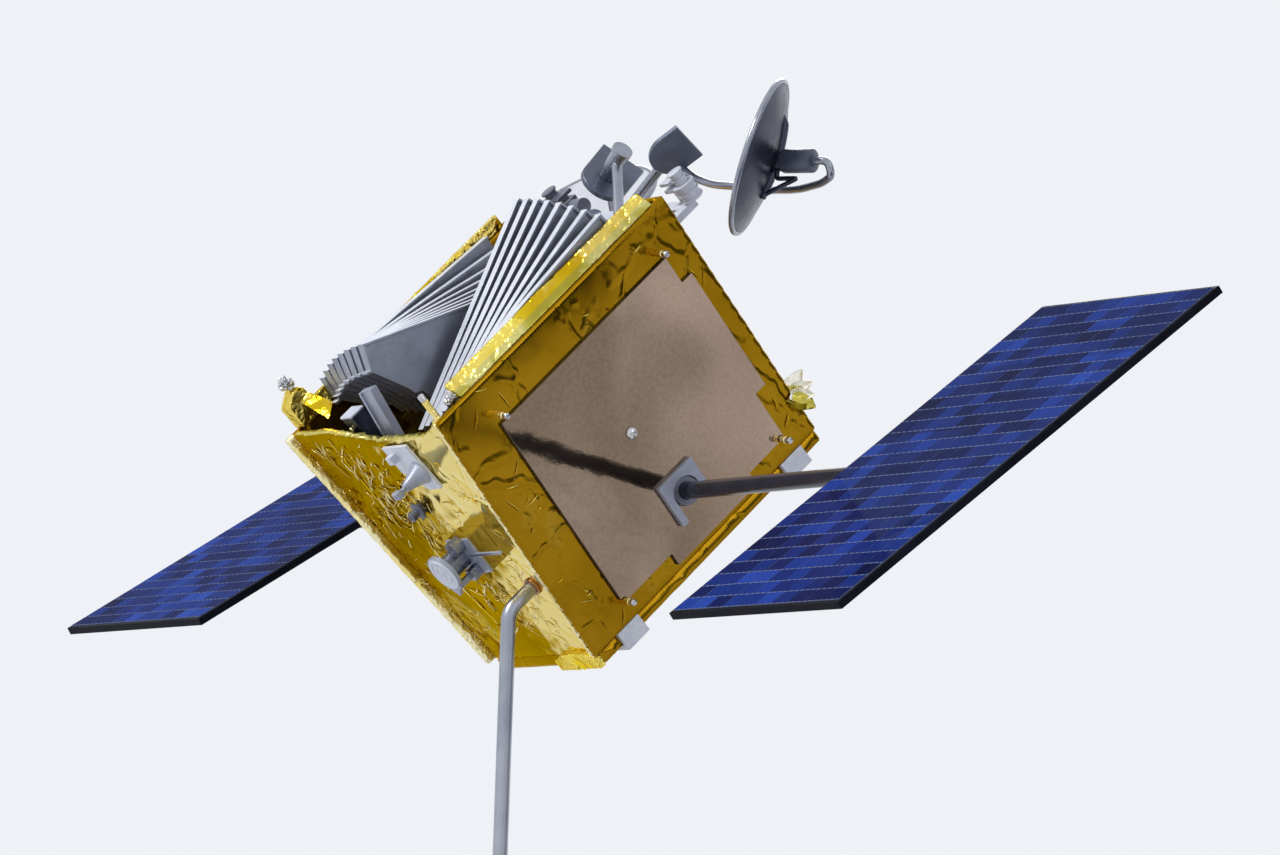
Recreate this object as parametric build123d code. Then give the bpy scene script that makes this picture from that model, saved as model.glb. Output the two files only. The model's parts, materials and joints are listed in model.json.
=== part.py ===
# Scale model of a small communications satellite on a bent rod stand.
# Millimetres, +Z up. The origin is the centre of the base's underside, on the axis of the upright rod.
# The satellite is drawn level in its own frame and then pitched as it stands:
# its x runs along the wings, y from the front plate to the back plate, z towards the earth side.
import os
from math import atan2, cos, pi, radians, sin, tan

from build123d import *

# Stand
base_diameter = 180.0
base_thickness = 12.0
rod_diameter = 6.0
rod_fit = 0.05            # radial room of the rod in its holes
rod_socket_depth = 9.0    # how far the rod goes into the base
elbow_height = 252.0      # floor to the point where the rod turns
elbow_radius = 9.0
rod_reach = 15.0          # elbow point to the front plate
rod_insert = 22.0         # rod inside the bus
rod_collar_diameter = 8.0
rod_collar_length = 1.2
pitch_deg = 45.0          # how far the satellite is pitched about the wing axis

# Bus
bus_length = 136.0        # front plate to back plate, y
bus_depth = 122.0         # earth side to zenith side, z
bus_top_width = 130.0     # at the earth side
bus_bottom_width = 90.0   # at the zenith side
panel_thickness = 3.0
side_lip = 3.5            # side panels stand this far past the front plate
zenith_thickness = 6.0
zenith_inset = 2.6        # zenith panel's sides behind the side panels' bottom edges
deck_drop = 24.0          # earth deck below the side panels' top edge
deck_thickness = 3.0
back_notch_half = 50.0    # back panel's top edge is lower between these
back_notch_depth = 9.0
rod_hole_x = 34.0
rod_hole_z = -86.0

# Front plate top edge: flat, a slanted cut, a level part and a round rise
notch_start_x = -36.0
notch_floor_start_x = 3.0
notch_floor_end_x = 33.0
notch_end_x = 58.0
notch_depth = 7.0

# Edge rails along the side panels' top edges
rail_base = 7.0
rail_height = 6.5
rail_top = 1.6
rail_front_inset = {"near": 13.0, "far": 15.3}
rail_back_inset = 6.0

# Radiators
radiator_thickness = 1.6
radiator_front_inset = 20.0
radiator_back_inset = 15.0
radiator_top_s = 20.0
radiator_bottom_inset = 8.6
radiator_lug = 6.0
radiator_lug_back = (33.0, 92.0)     # down-slope span of the lug at the back edge
radiator_lug_zenith = (50.0, 99.0)   # y span of the lug at the zenith edge

# Side pins
pin_diameter = 2.8
pin_gap = 0.3             # round the pins where they pass the radiator
pin_length = 8.5
pin_top_s = 16.0
pin_bottom_inset = 9.1
pin_front_inset = 21.0
pin_back_inset = 17.0
edge_pin_x = 60.0         # the pin that stands on the front plate's top edge
edge_pin_length = 11.5
dome_diameter = 5.4
dome_height = 2.0
dome_place = (65.0, 64.0)

# Wings
boom_diameter = 7.0
boom_y = 70.0
boom_z = -98.0
boom_inset = 12.0         # boom inside the bus, past the side panel
boom_fit = 0.05
bushing_diameter = 12.0
bushing_stand = 4.0       # bushing proud of the side panel
boom_plate_size = 20.0
boom_plate_corner = 7.0   # cut off the plate's back bottom corner
boom_plate_gap = 0.6      # round the bushing
boom_plate_thickness = 2.4
wing_inner_x = 194.0
wing_width = 126.0
wing_length = 208.0
wing_thickness = 3.2
wing_tilt = {"near": -6.5, "far": -13.0}
cell_margin = 1.6
cell_thickness = 0.4
boom_overlap = 100.0      # boom under the wing
saddle_length = 9.0
saddle_pad = 1.0          # saddle between the boom and the wing
saddle_count = 3
saddle_inset = 8.0        # outer saddles from the ends of the boom under the wing
clamp_diameter = 12.0     # clamp on the boom at the wing's inner edge
clamp_length = 5.0

# Blades: eight in each group, stood side by side
blade_pitch = 7.2
blade_first_x = 5.0
blade_thickness = 1.1
blade_tip_inset = 24.0    # raised tips from the bus's end
blade_root_inset = 17.0
blade_tip_depth = 11.0    # end column down from the tip
blade_flange_width = 3.8
blade_flange_thickness = 1.1
blade_column_width = 4.6
blade_hook = 2.2          # foot of the end column, out past it
# tip height above the panels' top edge, tilt in degrees, inner blade first
blade_rows = [(22.5, 22.5), (21.8, 21.4), (20.8, 20.0), (19.4, 18.2),
              (17.6, 15.8), (15.2, 12.8), (12.4, 8.9), (9.2, 4.0)]
# undercut of the raised end: share of the way down to the deck, distance in from the column's foot
blade_undercut = [(0.42, 8.0), (0.52, 9.2), (0.56, 12.2), (0.68, 13.4), (0.72, 16.4), (1.0, 18.0)]

# Beam behind the back panel that carries the antennas
beam_length = 106.0
beam_width = 6.0
beam_thickness = 3.0
beam_back = 13.0          # beam's middle behind the back panel's outer face
beam_z = -16.0
beam_foot_x = (15.0, 50.0)
beam_foot_width = 6.0
beam_pad_width = 14.0
beam_pad_height = 12.0
beam_pad_thickness = 1.6
roller_x = 30.0           # small roller with a square flange on the far half of the beam
roller_diameter = 6.6
roller_length = 8.0
roller_flange = 7.4
roller_lift = 8.0         # roller's axis above the beam's middle
knob_x = 24.0
knob_diameter = 3.2
knob_height = 4.0

# Holds for the arms on the beam's ends: two stacked drums and a fork of two plates
hold_inset = 1.0          # drums' axis from the beam's end
hold_back = 3.5           # drums' axis behind the beam's middle
hold_drum_diameter = 8.4
hold_drum_height = 8.0
hold_neck_diameter = 5.6
hold_neck_height = 6.0
fork_reach = 10.0         # fork's outer end from the drums' axis
fork_size = 7.0
fork_width = 8.0
fork_thickness = 1.5
fork_heights = (6.3, 9.8)   # undersides above the beam
fork_web = 2.0

# Gateway antennas. The near one's centre is where its turning axis meets the shield plate.
# Points of the near antenna are measured from that centre in the satellite frame.
gimbal_x = 31.5
gimbal_back = 29.9        # centre behind the back panel's outer face
gimbal_z = -8.0
gimbal_axis = (-0.761, 0.487, 0.428)
shield_width = 20.0
shield_straight = {"near": 8.5, "far": 21.5}
shield_turn_deg = {"near": -52.7, "far": -96.4}
shield_round = {"near": (5.3, 6.3), "far": (-1.1, -3.4)}     # round end's centre off the turning axis
shield_thickness = 2.4
motor_diameter = 7.4
motor_length = 15.0
motor_cap_diameter = 8.8
motor_cap_length = 2.0
gimbal_gap = 0.3
gimbal_pin_diameter = 3.0
gimbal_pin_length = 5.0
strut_diameter = 4.4
strut_foot_x = 3.6
strut_pad_diameter = 9.0
strut_pad_height = 1.2
strut_clear = 0.2         # half the space between the two struts
strut_top = (-8.8, 5.2, 4.4)
far_swing_deg = -51.0     # the far arm is turned this far from the near arm's mirror image
arm_diameter = 3.2
arm_sides = 8             # flats round the arm's bar
arm_bend = 0.45           # arc share of the shorter run at each bend
arm_root = {"near": (0.0, 0.0), "far": (6.5, 14.8)}     # arm's root on the shield, off the turning axis
arm_points = [(-0.2, 0.8, -0.8), (5.5, -0.4, -5.5), (15.5, -0.9, -9.5), (28.5, 0.1, -12.5),
              (46.0, 0.9, -16.9), (76.8, -2.2, -17.1), (98.5, -2.9, -15.1), (107.0, -1.9, -13.0)]
arm_hub_lead = 6.5        # straight run of the arm into the hub
dish_diameter = 65.0
dish_depth = 7.0
dish_wall = 1.4
dish_sides = 48           # flats round the dish
dish_steps = (0.2, 0.45, 0.7, 0.87, 1.0)   # shares of its radius where the curve has a ring
dish_rim = 2.0            # height and twice the width of the rolled edge
dish_vertex = (84.8, -7.5, 1.3)
dish_back = (0.609, 0.325, -0.723)
dish_up = (0.20, 0.83, 0.53)         # roughly along the back ribs
rib_width = 2.4
rib_height = 1.8
rib_up = 19.0
rib_down = 15.5
brace_size = 1.8
brace_reach = 7.0         # brace corner along the hub
brace_gap = 1.2           # brace corner off the hub
hub_axis = (0.882, 0.322, -0.341)
hub_boss_diameter = 8.0
hub_boss_length = 5.0
hub_gap = 0.3
hub_diameter = 9.6
hub_length = 13.5

# Front plate fittings: x and z on the front plate, y is minus the stand off it
box_x = (13.0, 30.6)
box_z = (-70.6, -53.4)
box_depth = 7.6
box_frame = 1.2           # frame plate on the box's front
thruster_place = (17.2, -61.2)
thruster_diameter = 10.2
thruster_length = 9.6
disc_diameter = 16.6
disc_thickness = 1.6
disc_ear = 4.6
knuckle_place = (23.6, -54.8)
knuckle_diameter = 7.0
knuckle_length = 5.0
lug_place = (22.6, -68.2)
lug_size = 4.6
lug_bar = 2.4
probe_diameter = 1.6
probe_length = 19.0
tracker_outline = [(6.1, -9.6), (25.5, -9.7), (28.3, -32.0), (18.5, -32.1), (7.1, -22.3)]
tracker_thickness = 1.4
tracker_spacer = 0.9
horn_place = (22.6, -23.0)
horn_radius = 5.4          # bell at the plate
horn_throat_radius = 2.2
horn_spacer_diameter = 6.6
horn_length = 9.0
stem_diameter = 2.2
stem_length = 6.5
stem_end = (4.4, 3.4, 3.0)
tracker_block_place = (11.2, -14.4)
tracker_block = (4.0, 3.0, 3.6)
valve_place = (-4.5, -42.3)
valve_diameter = 4.2
valve_length = 6.6
valve_flange = 7.6
valve_flange_thickness = 1.0

# Ear block at the far front corner
ear_width = 8.0
ear_outline = [(4.4, 0.0), (4.4, 10.4), (10.0, 14.2), (13.2, 14.2), (15.0, 12.0), (15.0, 0.0)]   # y, z
ear_knob_diameter = 3.4
ear_knob_length = 2.4

# Cavity between the front plate and the blades
stay_foot = (-2.0, 7.6)   # x, y of the stay's foot on the deck
stay_lean_deg = 9.0       # towards the back
stay_turn_deg = 20.0
stay_length = 41.0
stay_width = 7.0
stay_thickness = 3.4
stay_rib = 1.2
latch_box = (9.0, 7.0, 25.5)
latch_place = (-19.5, 8.5)

# Zenith brackets along the near and far bottom edges
zenith_bracket_length = 12.5
zenith_bracket_height = 6.6
zenith_bracket_thickness = 2.4
zenith_bracket_foot = 13.0
zenith_bracket_insets = (11.0, 10.0)     # from the front and from the back
corner_wrap_x = (10.0, 43.0)
corner_wrap_depth = 2.8
corner_wrap_height = 8.0

half_top = bus_top_width / 2
half_bottom = bus_bottom_width / 2
slope = atan2(half_top - half_bottom, bus_depth)
side_length = bus_depth / cos(slope)          # side panel down its slope
panel_run = panel_thickness / cos(slope)      # side panel measured along x


def half_width(z):
    return half_top + z * tan(slope)


def vec(point):
    return Vector(*point)


def place(shape):
    # satellite frame to the stand's frame
    elbow = Rot(pitch_deg, 0, 0) * Pos(rod_hole_x, -rod_reach, rod_hole_z)
    shift = Vector(0, 0, elbow_height) - elbow.position
    return Pos(shift.X, shift.Y, shift.Z) * Rot(pitch_deg, 0, 0) * shape


def section(points, y_start, y_end):
    # a plate with its outline in x and z, from y_start to y_end
    face = Plane.XZ * make_face(Polyline(*points, close=True))
    return Pos(0, y_start, 0) * extrude(face, amount=-(y_end - y_start))


def mirrored(shape):
    return mirror(shape, about=Plane.YZ)


def rod(start, end, diameter):
    line = vec(end) - vec(start)
    plane = Plane(origin=vec(start), z_dir=line)
    return plane * extrude(Circle(diameter / 2), amount=line.length)


def slope_plane(y, s, lift=0.0):
    # on the near side panel's outer face: x of the plane along y, normal outwards
    normal = Vector(cos(slope), 0, -sin(slope))
    down = Vector(-sin(slope), 0, -cos(slope))
    origin = Vector(half_top, y, 0) + down * s + normal * lift
    return Plane(origin=origin, x_dir=Vector(0, 1, 0), z_dir=normal)


nodes = {}


def make_stand():
    base = extrude(Circle(base_diameter / 2), amount=base_thickness)
    base = base - Pos(0, 0, base_thickness - rod_socket_depth) * extrude(
        Circle(rod_diameter / 2 + rod_fit), amount=rod_socket_depth)
    nodes["stand_base"] = base
    foot = Vector(0, 0, base_thickness - rod_socket_depth)
    bend = Vector(0, 0, elbow_height)
    along = Vector(0, cos(radians(pitch_deg)), sin(radians(pitch_deg)))
    tip = bend + along * (rod_reach + rod_insert)
    path = FilletPolyline(foot, bend, tip, radius=elbow_radius)
    nodes["stand_rod"] = sweep(Plane(origin=foot, z_dir=(0, 0, 1)) * Circle(rod_diameter / 2), path=path)
    collar = Circle(rod_collar_diameter / 2) - Circle(rod_diameter / 2 + rod_fit)
    face = Plane(origin=(rod_hole_x, 0, rod_hole_z), z_dir=(0, -1, 0))
    nodes["rod_socket"] = place(face * extrude(collar, amount=rod_collar_length))


def boom_hole():
    return rod((0, boom_y, boom_z), (bus_top_width, boom_y, boom_z), bushing_diameter)


def make_bus():
    lower = -bus_depth
    zenith_half = half_bottom - zenith_inset
    side = section([(half_top, 0), (half_bottom, lower), (half_bottom - panel_run, lower),
                    (half_top - panel_run, 0)], -side_lip, bus_length)
    side = side - boom_hole()
    nodes["side_panel_near"] = place(side)
    nodes["side_panel_far"] = place(mirrored(side))
    inner_top = half_top - panel_run
    inner_bottom = half_bottom - panel_run
    dip, dip_z = back_notch_half, -back_notch_depth
    back = section([(-inner_top, 0), (-dip, 0), (-dip, dip_z), (dip, dip_z), (dip, 0), (inner_top, 0),
                    (inner_bottom, lower), (-inner_bottom, lower)], bus_length - panel_thickness, bus_length)
    back = back + Pos(knob_x, bus_length - panel_thickness / 2, dip_z) * extrude(Circle(knob_diameter / 2),
                                                                                 amount=knob_height)
    nodes["back_panel"] = place(back)
    rise = notch_end_x - notch_floor_end_x
    round_mid = (notch_floor_end_x + rise * 0.6, -notch_depth * 0.72)
    edge = [Line((-inner_top, 0), (notch_start_x, 0)),
            Line((notch_start_x, 0), (notch_floor_start_x, -notch_depth)),
            Line((notch_floor_start_x, -notch_depth), (notch_floor_end_x, -notch_depth)),
            ThreePointArc((notch_floor_end_x, -notch_depth), round_mid, (notch_end_x, 0)),
            Line((notch_end_x, 0), (inner_top, 0)),
            Line((inner_top, 0), (inner_bottom, lower)),
            Line((inner_bottom, lower), (-inner_bottom, lower)),
            Line((-inner_bottom, lower), (-inner_top, 0))]
    front = extrude(Plane.XZ * make_face(Curve() + edge), amount=-panel_thickness)
    front = front - rod((rod_hole_x, -rod_insert, rod_hole_z), (rod_hole_x, rod_insert, rod_hole_z),
                        rod_diameter + 2 * rod_fit)
    nodes["front_panel"] = place(front)
    zenith = section([(-zenith_half, lower), (zenith_half, lower), (zenith_half, lower - zenith_thickness),
                      (-zenith_half, lower - zenith_thickness)], 0, bus_length)
    nodes["zenith_panel"] = place(zenith)
    upper_half = half_width(-deck_drop) - panel_run
    lower_half = half_width(-deck_drop - deck_thickness) - panel_run
    top, bottom = -deck_drop, -deck_drop - deck_thickness
    deck = section([(-upper_half, top), (upper_half, top), (lower_half, bottom), (-lower_half, bottom)],
                   panel_thickness, bus_length - panel_thickness)
    nodes["earth_deck"] = place(deck)
    inner = half_top - rail_base
    outline = [(half_top, 0), (inner, 0), (inner, rail_height), (inner + rail_top, rail_height)]
    rail = section(outline, rail_front_inset["near"], bus_length - rail_back_inset)
    nodes["edge_rail_near"] = place(rail)
    rail = section(outline, rail_front_inset["far"], bus_length - rail_back_inset)
    nodes["edge_rail_far"] = place(mirrored(rail))


def make_sides():
    top, bottom = radiator_top_s, side_length - radiator_bottom_inset
    y0, y1 = radiator_front_inset, bus_length - radiator_back_inset
    back0, back1 = radiator_lug_back
    low0, low1 = radiator_lug_zenith
    y2, low = y1 + radiator_lug, bottom + radiator_lug
    outline = [(y0, -top), (y1, -top), (y1, -back0), (y2, -back0), (y2, -back1), (y1, -back1),
               (y1, -bottom), (low1, -bottom), (low1, -low), (low0, -low), (low0, -bottom), (y0, -bottom)]
    face = make_face(Polyline(*outline, close=True))
    plate = slope_plane(0, 0) * extrude(face, amount=radiator_thickness) - boom_hole()
    pins = []
    for y in (pin_front_inset, bus_length - pin_back_inset):
        for s in (pin_top_s, side_length - pin_bottom_inset):
            spot = slope_plane(y, s)
            pins.append(spot * extrude(Circle(pin_diameter / 2), amount=pin_length))
            plate = plate - spot * extrude(Circle(pin_diameter / 2 + pin_gap), amount=pin_length)
    nodes["radiator_near"] = place(plate)
    nodes["radiator_far"] = place(mirrored(plate))
    y, s = dome_place
    spot = slope_plane(y, s, radiator_thickness)
    pins.append(spot * extrude(Circle(dome_diameter / 2), amount=dome_height))
    edge_pin = extrude(Circle(pin_diameter / 2), amount=edge_pin_length)
    edge_pin = Pos(edge_pin_x, panel_thickness / 2, 0) * edge_pin
    nodes["side_pins_near"] = place(Compound(children=pins + [edge_pin]))
    nodes["side_pins_far"] = place(Compound(children=[mirrored(pin) for pin in pins]))
    tube = Circle(bushing_diameter / 2) - Circle(boom_diameter / 2 + boom_fit)
    start = half_width(boom_z) - panel_run - panel_thickness
    length = half_width(boom_z) + bushing_stand - start
    bushing = Plane(origin=(start, boom_y, boom_z), z_dir=(1, 0, 0)) * extrude(tube, amount=length)
    nodes["boom_bushing_near"] = place(bushing)
    nodes["boom_bushing_far"] = place(mirrored(bushing))
    half = boom_plate_size / 2
    slot = bushing_diameter / 2 + boom_plate_gap
    leg = half - slot
    frame = Rectangle(boom_plate_size, boom_plate_size) - Circle(slot)
    frame = frame - Pos(0, -half) * Rectangle(2 * slot, boom_plate_size)
    frame = frame - Pos(slot + leg, -half) * Rectangle(2 * leg, 2 * boom_plate_corner)
    plane = slope_plane(boom_y, -boom_z / cos(slope), radiator_thickness)
    plate = plane * extrude(frame, amount=boom_plate_thickness)
    nodes["boom_plate_near"] = place(plate)
    nodes["boom_plate_far"] = place(mirrored(plate))


def make_wing(side):
    start = half_width(boom_z) - boom_inset
    end = wing_inner_x + boom_overlap
    boom = rod((start, boom_y, boom_z), (end, boom_y, boom_z), boom_diameter)
    lift = boom_diameter / 2 + saddle_pad
    middle = wing_inner_x + wing_width / 2
    panel_z = boom_z + lift + wing_thickness / 2
    panel = Pos(middle, boom_y, panel_z) * Box(wing_width, wing_length, wing_thickness)
    step = (boom_overlap - 2 * saddle_inset) / (saddle_count - 1)
    for i in range(saddle_count):
        x = wing_inner_x + saddle_inset + i * step
        boom = boom + Pos(x, boom_y, boom_z + lift / 2) * Box(saddle_length, boom_diameter, lift)
    clamp_end = wing_inner_x + clamp_length
    clamp = rod((wing_inner_x, boom_y, boom_z), (clamp_end, boom_y, boom_z), clamp_diameter)
    clamp = clamp - Pos(middle, boom_y, boom_z + lift + clamp_diameter) * Box(
        wing_width, wing_length, 2 * clamp_diameter)
    boom = boom + clamp
    sheet_z = boom_z + lift + wing_thickness + cell_thickness / 2
    sheet = Pos(middle, boom_y, sheet_z) * Box(wing_width - 2 * cell_margin, wing_length - 2 * cell_margin,
                                               cell_thickness)
    turn = Pos(0, boom_y, boom_z) * Rot(wing_tilt[side], 0, 0) * Pos(0, -boom_y, -boom_z)
    for name, shape in (("wing_boom", boom), ("wing_panel", panel), ("cell_sheet", sheet)):
        shape = turn * shape
        if side == "far":
            shape = mirrored(shape)
        nodes[f"{name}_{side}"] = place(shape)


def make_blade(x, tip_z, tilt_deg):
    # a plate that rises to its tip, with a flange along its top, an end column and a hooked foot
    tilt = radians(tilt_deg)
    deck = -deck_drop
    tip_y = bus_length - blade_tip_inset
    root_y = blade_root_inset
    root_z = tip_z - (tip_y - root_y) * tan(tilt)
    end_y = tip_y + blade_tip_depth * sin(tilt)
    end_z = tip_z - blade_tip_depth * cos(tilt)
    undercut = [(end_y - inset, end_z + (deck - end_z) * share) for share, inset in blade_undercut]
    outline = [(root_y, root_z), (tip_y, tip_z), (end_y, end_z)] + undercut + [(root_y, deck)]
    face = Plane.YZ * make_face(Polyline(*outline, close=True))
    plate = Pos(x - blade_thickness / 2, 0, 0) * extrude(face, amount=blade_thickness)
    thick = blade_flange_thickness
    length = (tip_y - root_y) / cos(tilt)
    flange = Box(blade_flange_width, length, thick, align=(Align.CENTER, Align.MAX, Align.MIN))
    column = Pos(0, 0, thick) * Box(blade_column_width, thick, blade_tip_depth + thick,
                                    align=(Align.CENTER, Align.MIN, Align.MAX))
    hook = Pos(0, 0, -blade_tip_depth) * Box(blade_column_width, blade_hook + thick, thick,
                                             align=(Align.CENTER, Align.MIN, Align.MIN))
    return plate + Pos(x, tip_y, tip_z) * Rot(tilt_deg, 0, 0) * (flange + column + hook)


def make_blades():
    half_turn = Pos(0, bus_length / 2, 0) * Rot(0, 0, 180) * Pos(0, -bus_length / 2, 0)
    for i, (tip_z, tilt_deg) in enumerate(blade_rows):
        blade = make_blade(blade_first_x + i * blade_pitch, tip_z, tilt_deg)
        nodes[f"blade_near_{i + 1}"] = place(blade)
        nodes[f"blade_far_{i + 1}"] = place(half_turn * blade)


def make_beam():
    beam_y = bus_length + beam_back
    beam_top = beam_z + beam_thickness / 2
    beam = Pos(0, beam_y, beam_z) * Box(beam_length, beam_width, beam_thickness)
    beam = beam + Pos(0, beam_y, beam_top) * extrude(Circle(strut_pad_diameter / 2), amount=strut_pad_height)
    inner, outer = beam_foot_x
    for x in (-outer, -inner, inner, outer):
        beam = beam + Pos(x, bus_length, beam_z) * Box(beam_foot_width, beam_back, beam_thickness,
                                                       align=(Align.CENTER, Align.MIN, Align.CENTER))
    for x in (-outer, outer):
        beam = beam + Pos(x, bus_length, beam_top) * Box(beam_pad_width, beam_pad_thickness, beam_pad_height,
                                                         align=(Align.CENTER, Align.MIN, Align.MAX))
    axis_z = beam_z + roller_lift
    start = -roller_x - roller_length / 2
    roller = rod((start, beam_y, axis_z), (start + roller_length, beam_y, axis_z), roller_diameter)
    flange_height = roller_lift - beam_thickness / 2 + roller_flange / 2
    roller = roller + Pos(start, beam_y, beam_top) * Box(beam_pad_thickness, roller_flange, flange_height,
                                                         align=(Align.MAX, Align.CENTER, Align.MIN))
    nodes["antenna_beam"] = place(beam + roller)
    hold_x = beam_length / 2 - hold_inset
    hold_y = beam_y + hold_back
    hold = Pos(hold_x, hold_y, beam_top) * extrude(Circle(hold_drum_diameter / 2), amount=hold_drum_height)
    hold = hold + Pos(hold_x, hold_y, beam_top + hold_drum_height) * extrude(
        Circle(hold_neck_diameter / 2), amount=hold_neck_height)
    fork_x = hold_x - fork_reach
    web_height = max(fork_heights) + fork_thickness
    hold = hold + Pos(fork_x, hold_y, beam_top) * Box(fork_reach, fork_web, web_height,
                                                      align=(Align.MIN, Align.CENTER, Align.MIN))
    for lift in fork_heights:
        hold = hold + Pos(fork_x, hold_y, beam_top + lift) * Box(fork_size, fork_width, fork_thickness,
                                                                 align=(Align.MIN, Align.CENTER, Align.MIN))
    nodes["arm_hold_near"] = place(hold)
    nodes["arm_hold_far"] = place(mirrored(hold))


def dish_curve(radius):
    # height of the dish's front surface over its middle
    return dish_depth * (radius / (dish_diameter / 2)) ** 2


def dish_rings(lift):
    # radius and height of the rings on one side of the dish, from its middle outwards
    radii = [share * (dish_diameter - dish_rim) / 2 for share in dish_steps]
    return [(radius, dish_curve(radius) + lift) for radius in radii]


def faceted(rings):
    # a closed solid of flat faces: first ring, bands of four-sided faces from ring to ring, last ring
    turns = [2 * pi * i / dish_sides for i in range(dish_sides)]
    loops = [[(radius * cos(turn), radius * sin(turn), z) for turn in turns] for radius, z in rings]
    faces = [make_face(Polyline(*loop, close=True)) for loop in (loops[0], loops[-1])]
    for low, high in zip(loops[:-1], loops[1:]):
        for i in range(dish_sides):
            j = (i + 1) % dish_sides
            faces.append(make_face(Polyline(low[i], low[j], high[j], high[i], close=True)))
    return Solid(Shell(faces))


def square_bar(start, end, size):
    along = (end - start).normalized() * size / 2
    plane = Plane(origin=start - along, z_dir=along)
    return plane * extrude(Rectangle(size, size), amount=(end - start).length + size)


def make_dish(vertex, back, hub_dir):
    edge = dish_curve((dish_diameter - dish_rim) / 2)
    cup = Plane(origin=vertex, z_dir=back * -1)
    rim = [(dish_diameter / 2, edge - dish_rim), (dish_diameter / 2, edge)]
    bowl = cup * faceted(dish_rings(-dish_wall) + rim + dish_rings(0)[::-1])
    boss = rod(vertex - hub_dir * dish_wall, vertex + hub_dir * hub_boss_length, hub_boss_diameter)
    boss = boss - cup * extrude(Circle(dish_diameter / 2), amount=dish_depth)
    up = vec(dish_up)
    up = (up - back * up.dot(back)).normalized()
    rib_plane = Plane(origin=vertex, x_dir=up, z_dir=up.cross(back * -1))
    spots = [-rib_down, -rib_down / 2, 0, rib_up / 2, rib_up]
    seat = [(r, dish_curve(r) - dish_wall / 2) for r in spots]
    crest = [(r, dish_curve(r) - dish_wall - rib_height) for r in spots]
    rib_face = make_face(Polyline(*(seat + crest[::-1]), close=True))
    rib = rib_plane * extrude(rib_face, amount=rib_width / 2, both=True)
    down = up * -1
    down = (down - hub_dir * down.dot(hub_dir)).normalized()
    aside = down * (hub_diameter / 2 + brace_gap + brace_size / 2)
    root = vertex + hub_dir * (hub_boss_length / 2)
    corner = vertex + hub_dir * (hub_boss_length + brace_reach) + aside
    foot = vertex - up * (rib_down - brace_size) + back * (dish_wall + rib_height / 2 - dish_curve(rib_down))
    brace = square_bar(root, root + aside, brace_size)
    brace = brace + square_bar(root + aside, corner, brace_size) + square_bar(corner, foot, brace_size)
    return bowl + (boss + rib + brace)


def bar_along(points, diameter):
    # a bar with flats round it, in straight runs joined by tangent arcs
    radii = []
    for before, bend, after in zip(points[:-2], points[1:-1], points[2:]):
        first, second = bend - before, after - bend
        turn = radians(first.get_angle(second))
        radii.append(arm_bend * min(first.length, second.length) / tan(turn / 2))
    path = FilletPolyline(*points, radius=radii)
    section_plane = Plane(origin=points[0], z_dir=points[1] - points[0])
    return sweep(section_plane * RegularPolygon(diameter / 2, arm_sides), path=path)


def make_gateway(side):
    axis = vec(gimbal_axis).normalized()
    centre = Vector(gimbal_x, bus_length + gimbal_back, gimbal_z)
    up = Vector(0, sin(radians(pitch_deg)), cos(radians(pitch_deg)))
    head = Plane(origin=centre, x_dir=up.cross(axis), z_dir=axis)
    half = shield_width / 2
    flat_x = -shield_straight[side]
    edges = [Line((flat_x, half), (flat_x, -half)),
             Line((flat_x, -half), (0, -half)),
             ThreePointArc((0, -half), (half, 0), (0, half)),
             Line((0, half), (flat_x, half))]
    shield = extrude(make_face(Curve() + edges), amount=shield_thickness)
    shield = head * Pos(*shield_round[side]) * Rot(0, 0, shield_turn_deg[side]) * shield
    motor_start = shield_thickness + gimbal_gap
    motor = extrude(Circle(motor_diameter / 2), amount=motor_length)
    motor = motor + Pos(0, 0, motor_length - motor_cap_length) * extrude(
        Circle(motor_cap_diameter / 2), amount=motor_cap_length)
    motor = head * Pos(0, 0, motor_start) * motor
    foot = Vector(strut_foot_x, bus_length + beam_back, beam_z + beam_thickness / 2 + strut_pad_height)
    top = centre + vec(strut_top)
    lean = (top - foot).normalized()
    strut = rod(foot - lean * 2 * strut_diameter, top, strut_diameter)
    strut = split(strut, bisect_by=Plane(origin=foot, z_dir=(0, 0, 1)), keep=Keep.TOP)
    strut = split(strut, bisect_by=Plane(origin=(strut_clear, 0, 0), z_dir=(1, 0, 0)), keep=Keep.TOP)
    bore = extrude(Circle(gimbal_pin_diameter / 2 + boom_fit), amount=gimbal_pin_length)
    mount = motor + strut - head * Pos(0, 0, motor_start) * bore
    pin = extrude(Circle(gimbal_pin_diameter / 2), amount=gimbal_pin_length)
    pin = head * Pos(0, 0, shield_thickness) * pin
    root_x, root_y = arm_root[side]
    root = centre + head.x_dir * root_x + head.y_dir * root_y
    vertex = root + vec(dish_vertex)
    back = vec(dish_back).normalized()
    hub_dir = vec(hub_axis).normalized()
    hub_start = vertex + hub_dir * (hub_boss_length + hub_gap)
    hub_end = hub_start + hub_dir * hub_length
    hub = rod(hub_start, hub_end, hub_diameter)
    points = [root + vec(point) for point in arm_points]
    points += [hub_end + hub_dir * arm_hub_lead, hub_end - hub_dir * arm_diameter / 2]
    arm = bar_along(points, arm_diameter) + shield + pin + hub
    shapes = {"gimbal_mount": mount, "gimbal_arm": arm, "dish": make_dish(vertex, back, hub_dir)}
    if side == "far":
        flip = Vector(-axis.X, axis.Y, axis.Z)
        pivot = Vector(-centre.X, centre.Y, centre.Z)
        for name in shapes:
            shapes[name] = mirrored(shapes[name])
        for name in ("gimbal_arm", "dish"):
            shapes[name] = shapes[name].rotate(Axis(pivot, flip), far_swing_deg)
    for name, shape in shapes.items():
        nodes[f"{name}_{side}"] = place(shape)


def standing(x, z, diameter, start, length):
    # a round boss on the front plate, standing out along -y
    return rod((x, -start, z), (x, -start - length, z), diameter)


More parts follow.
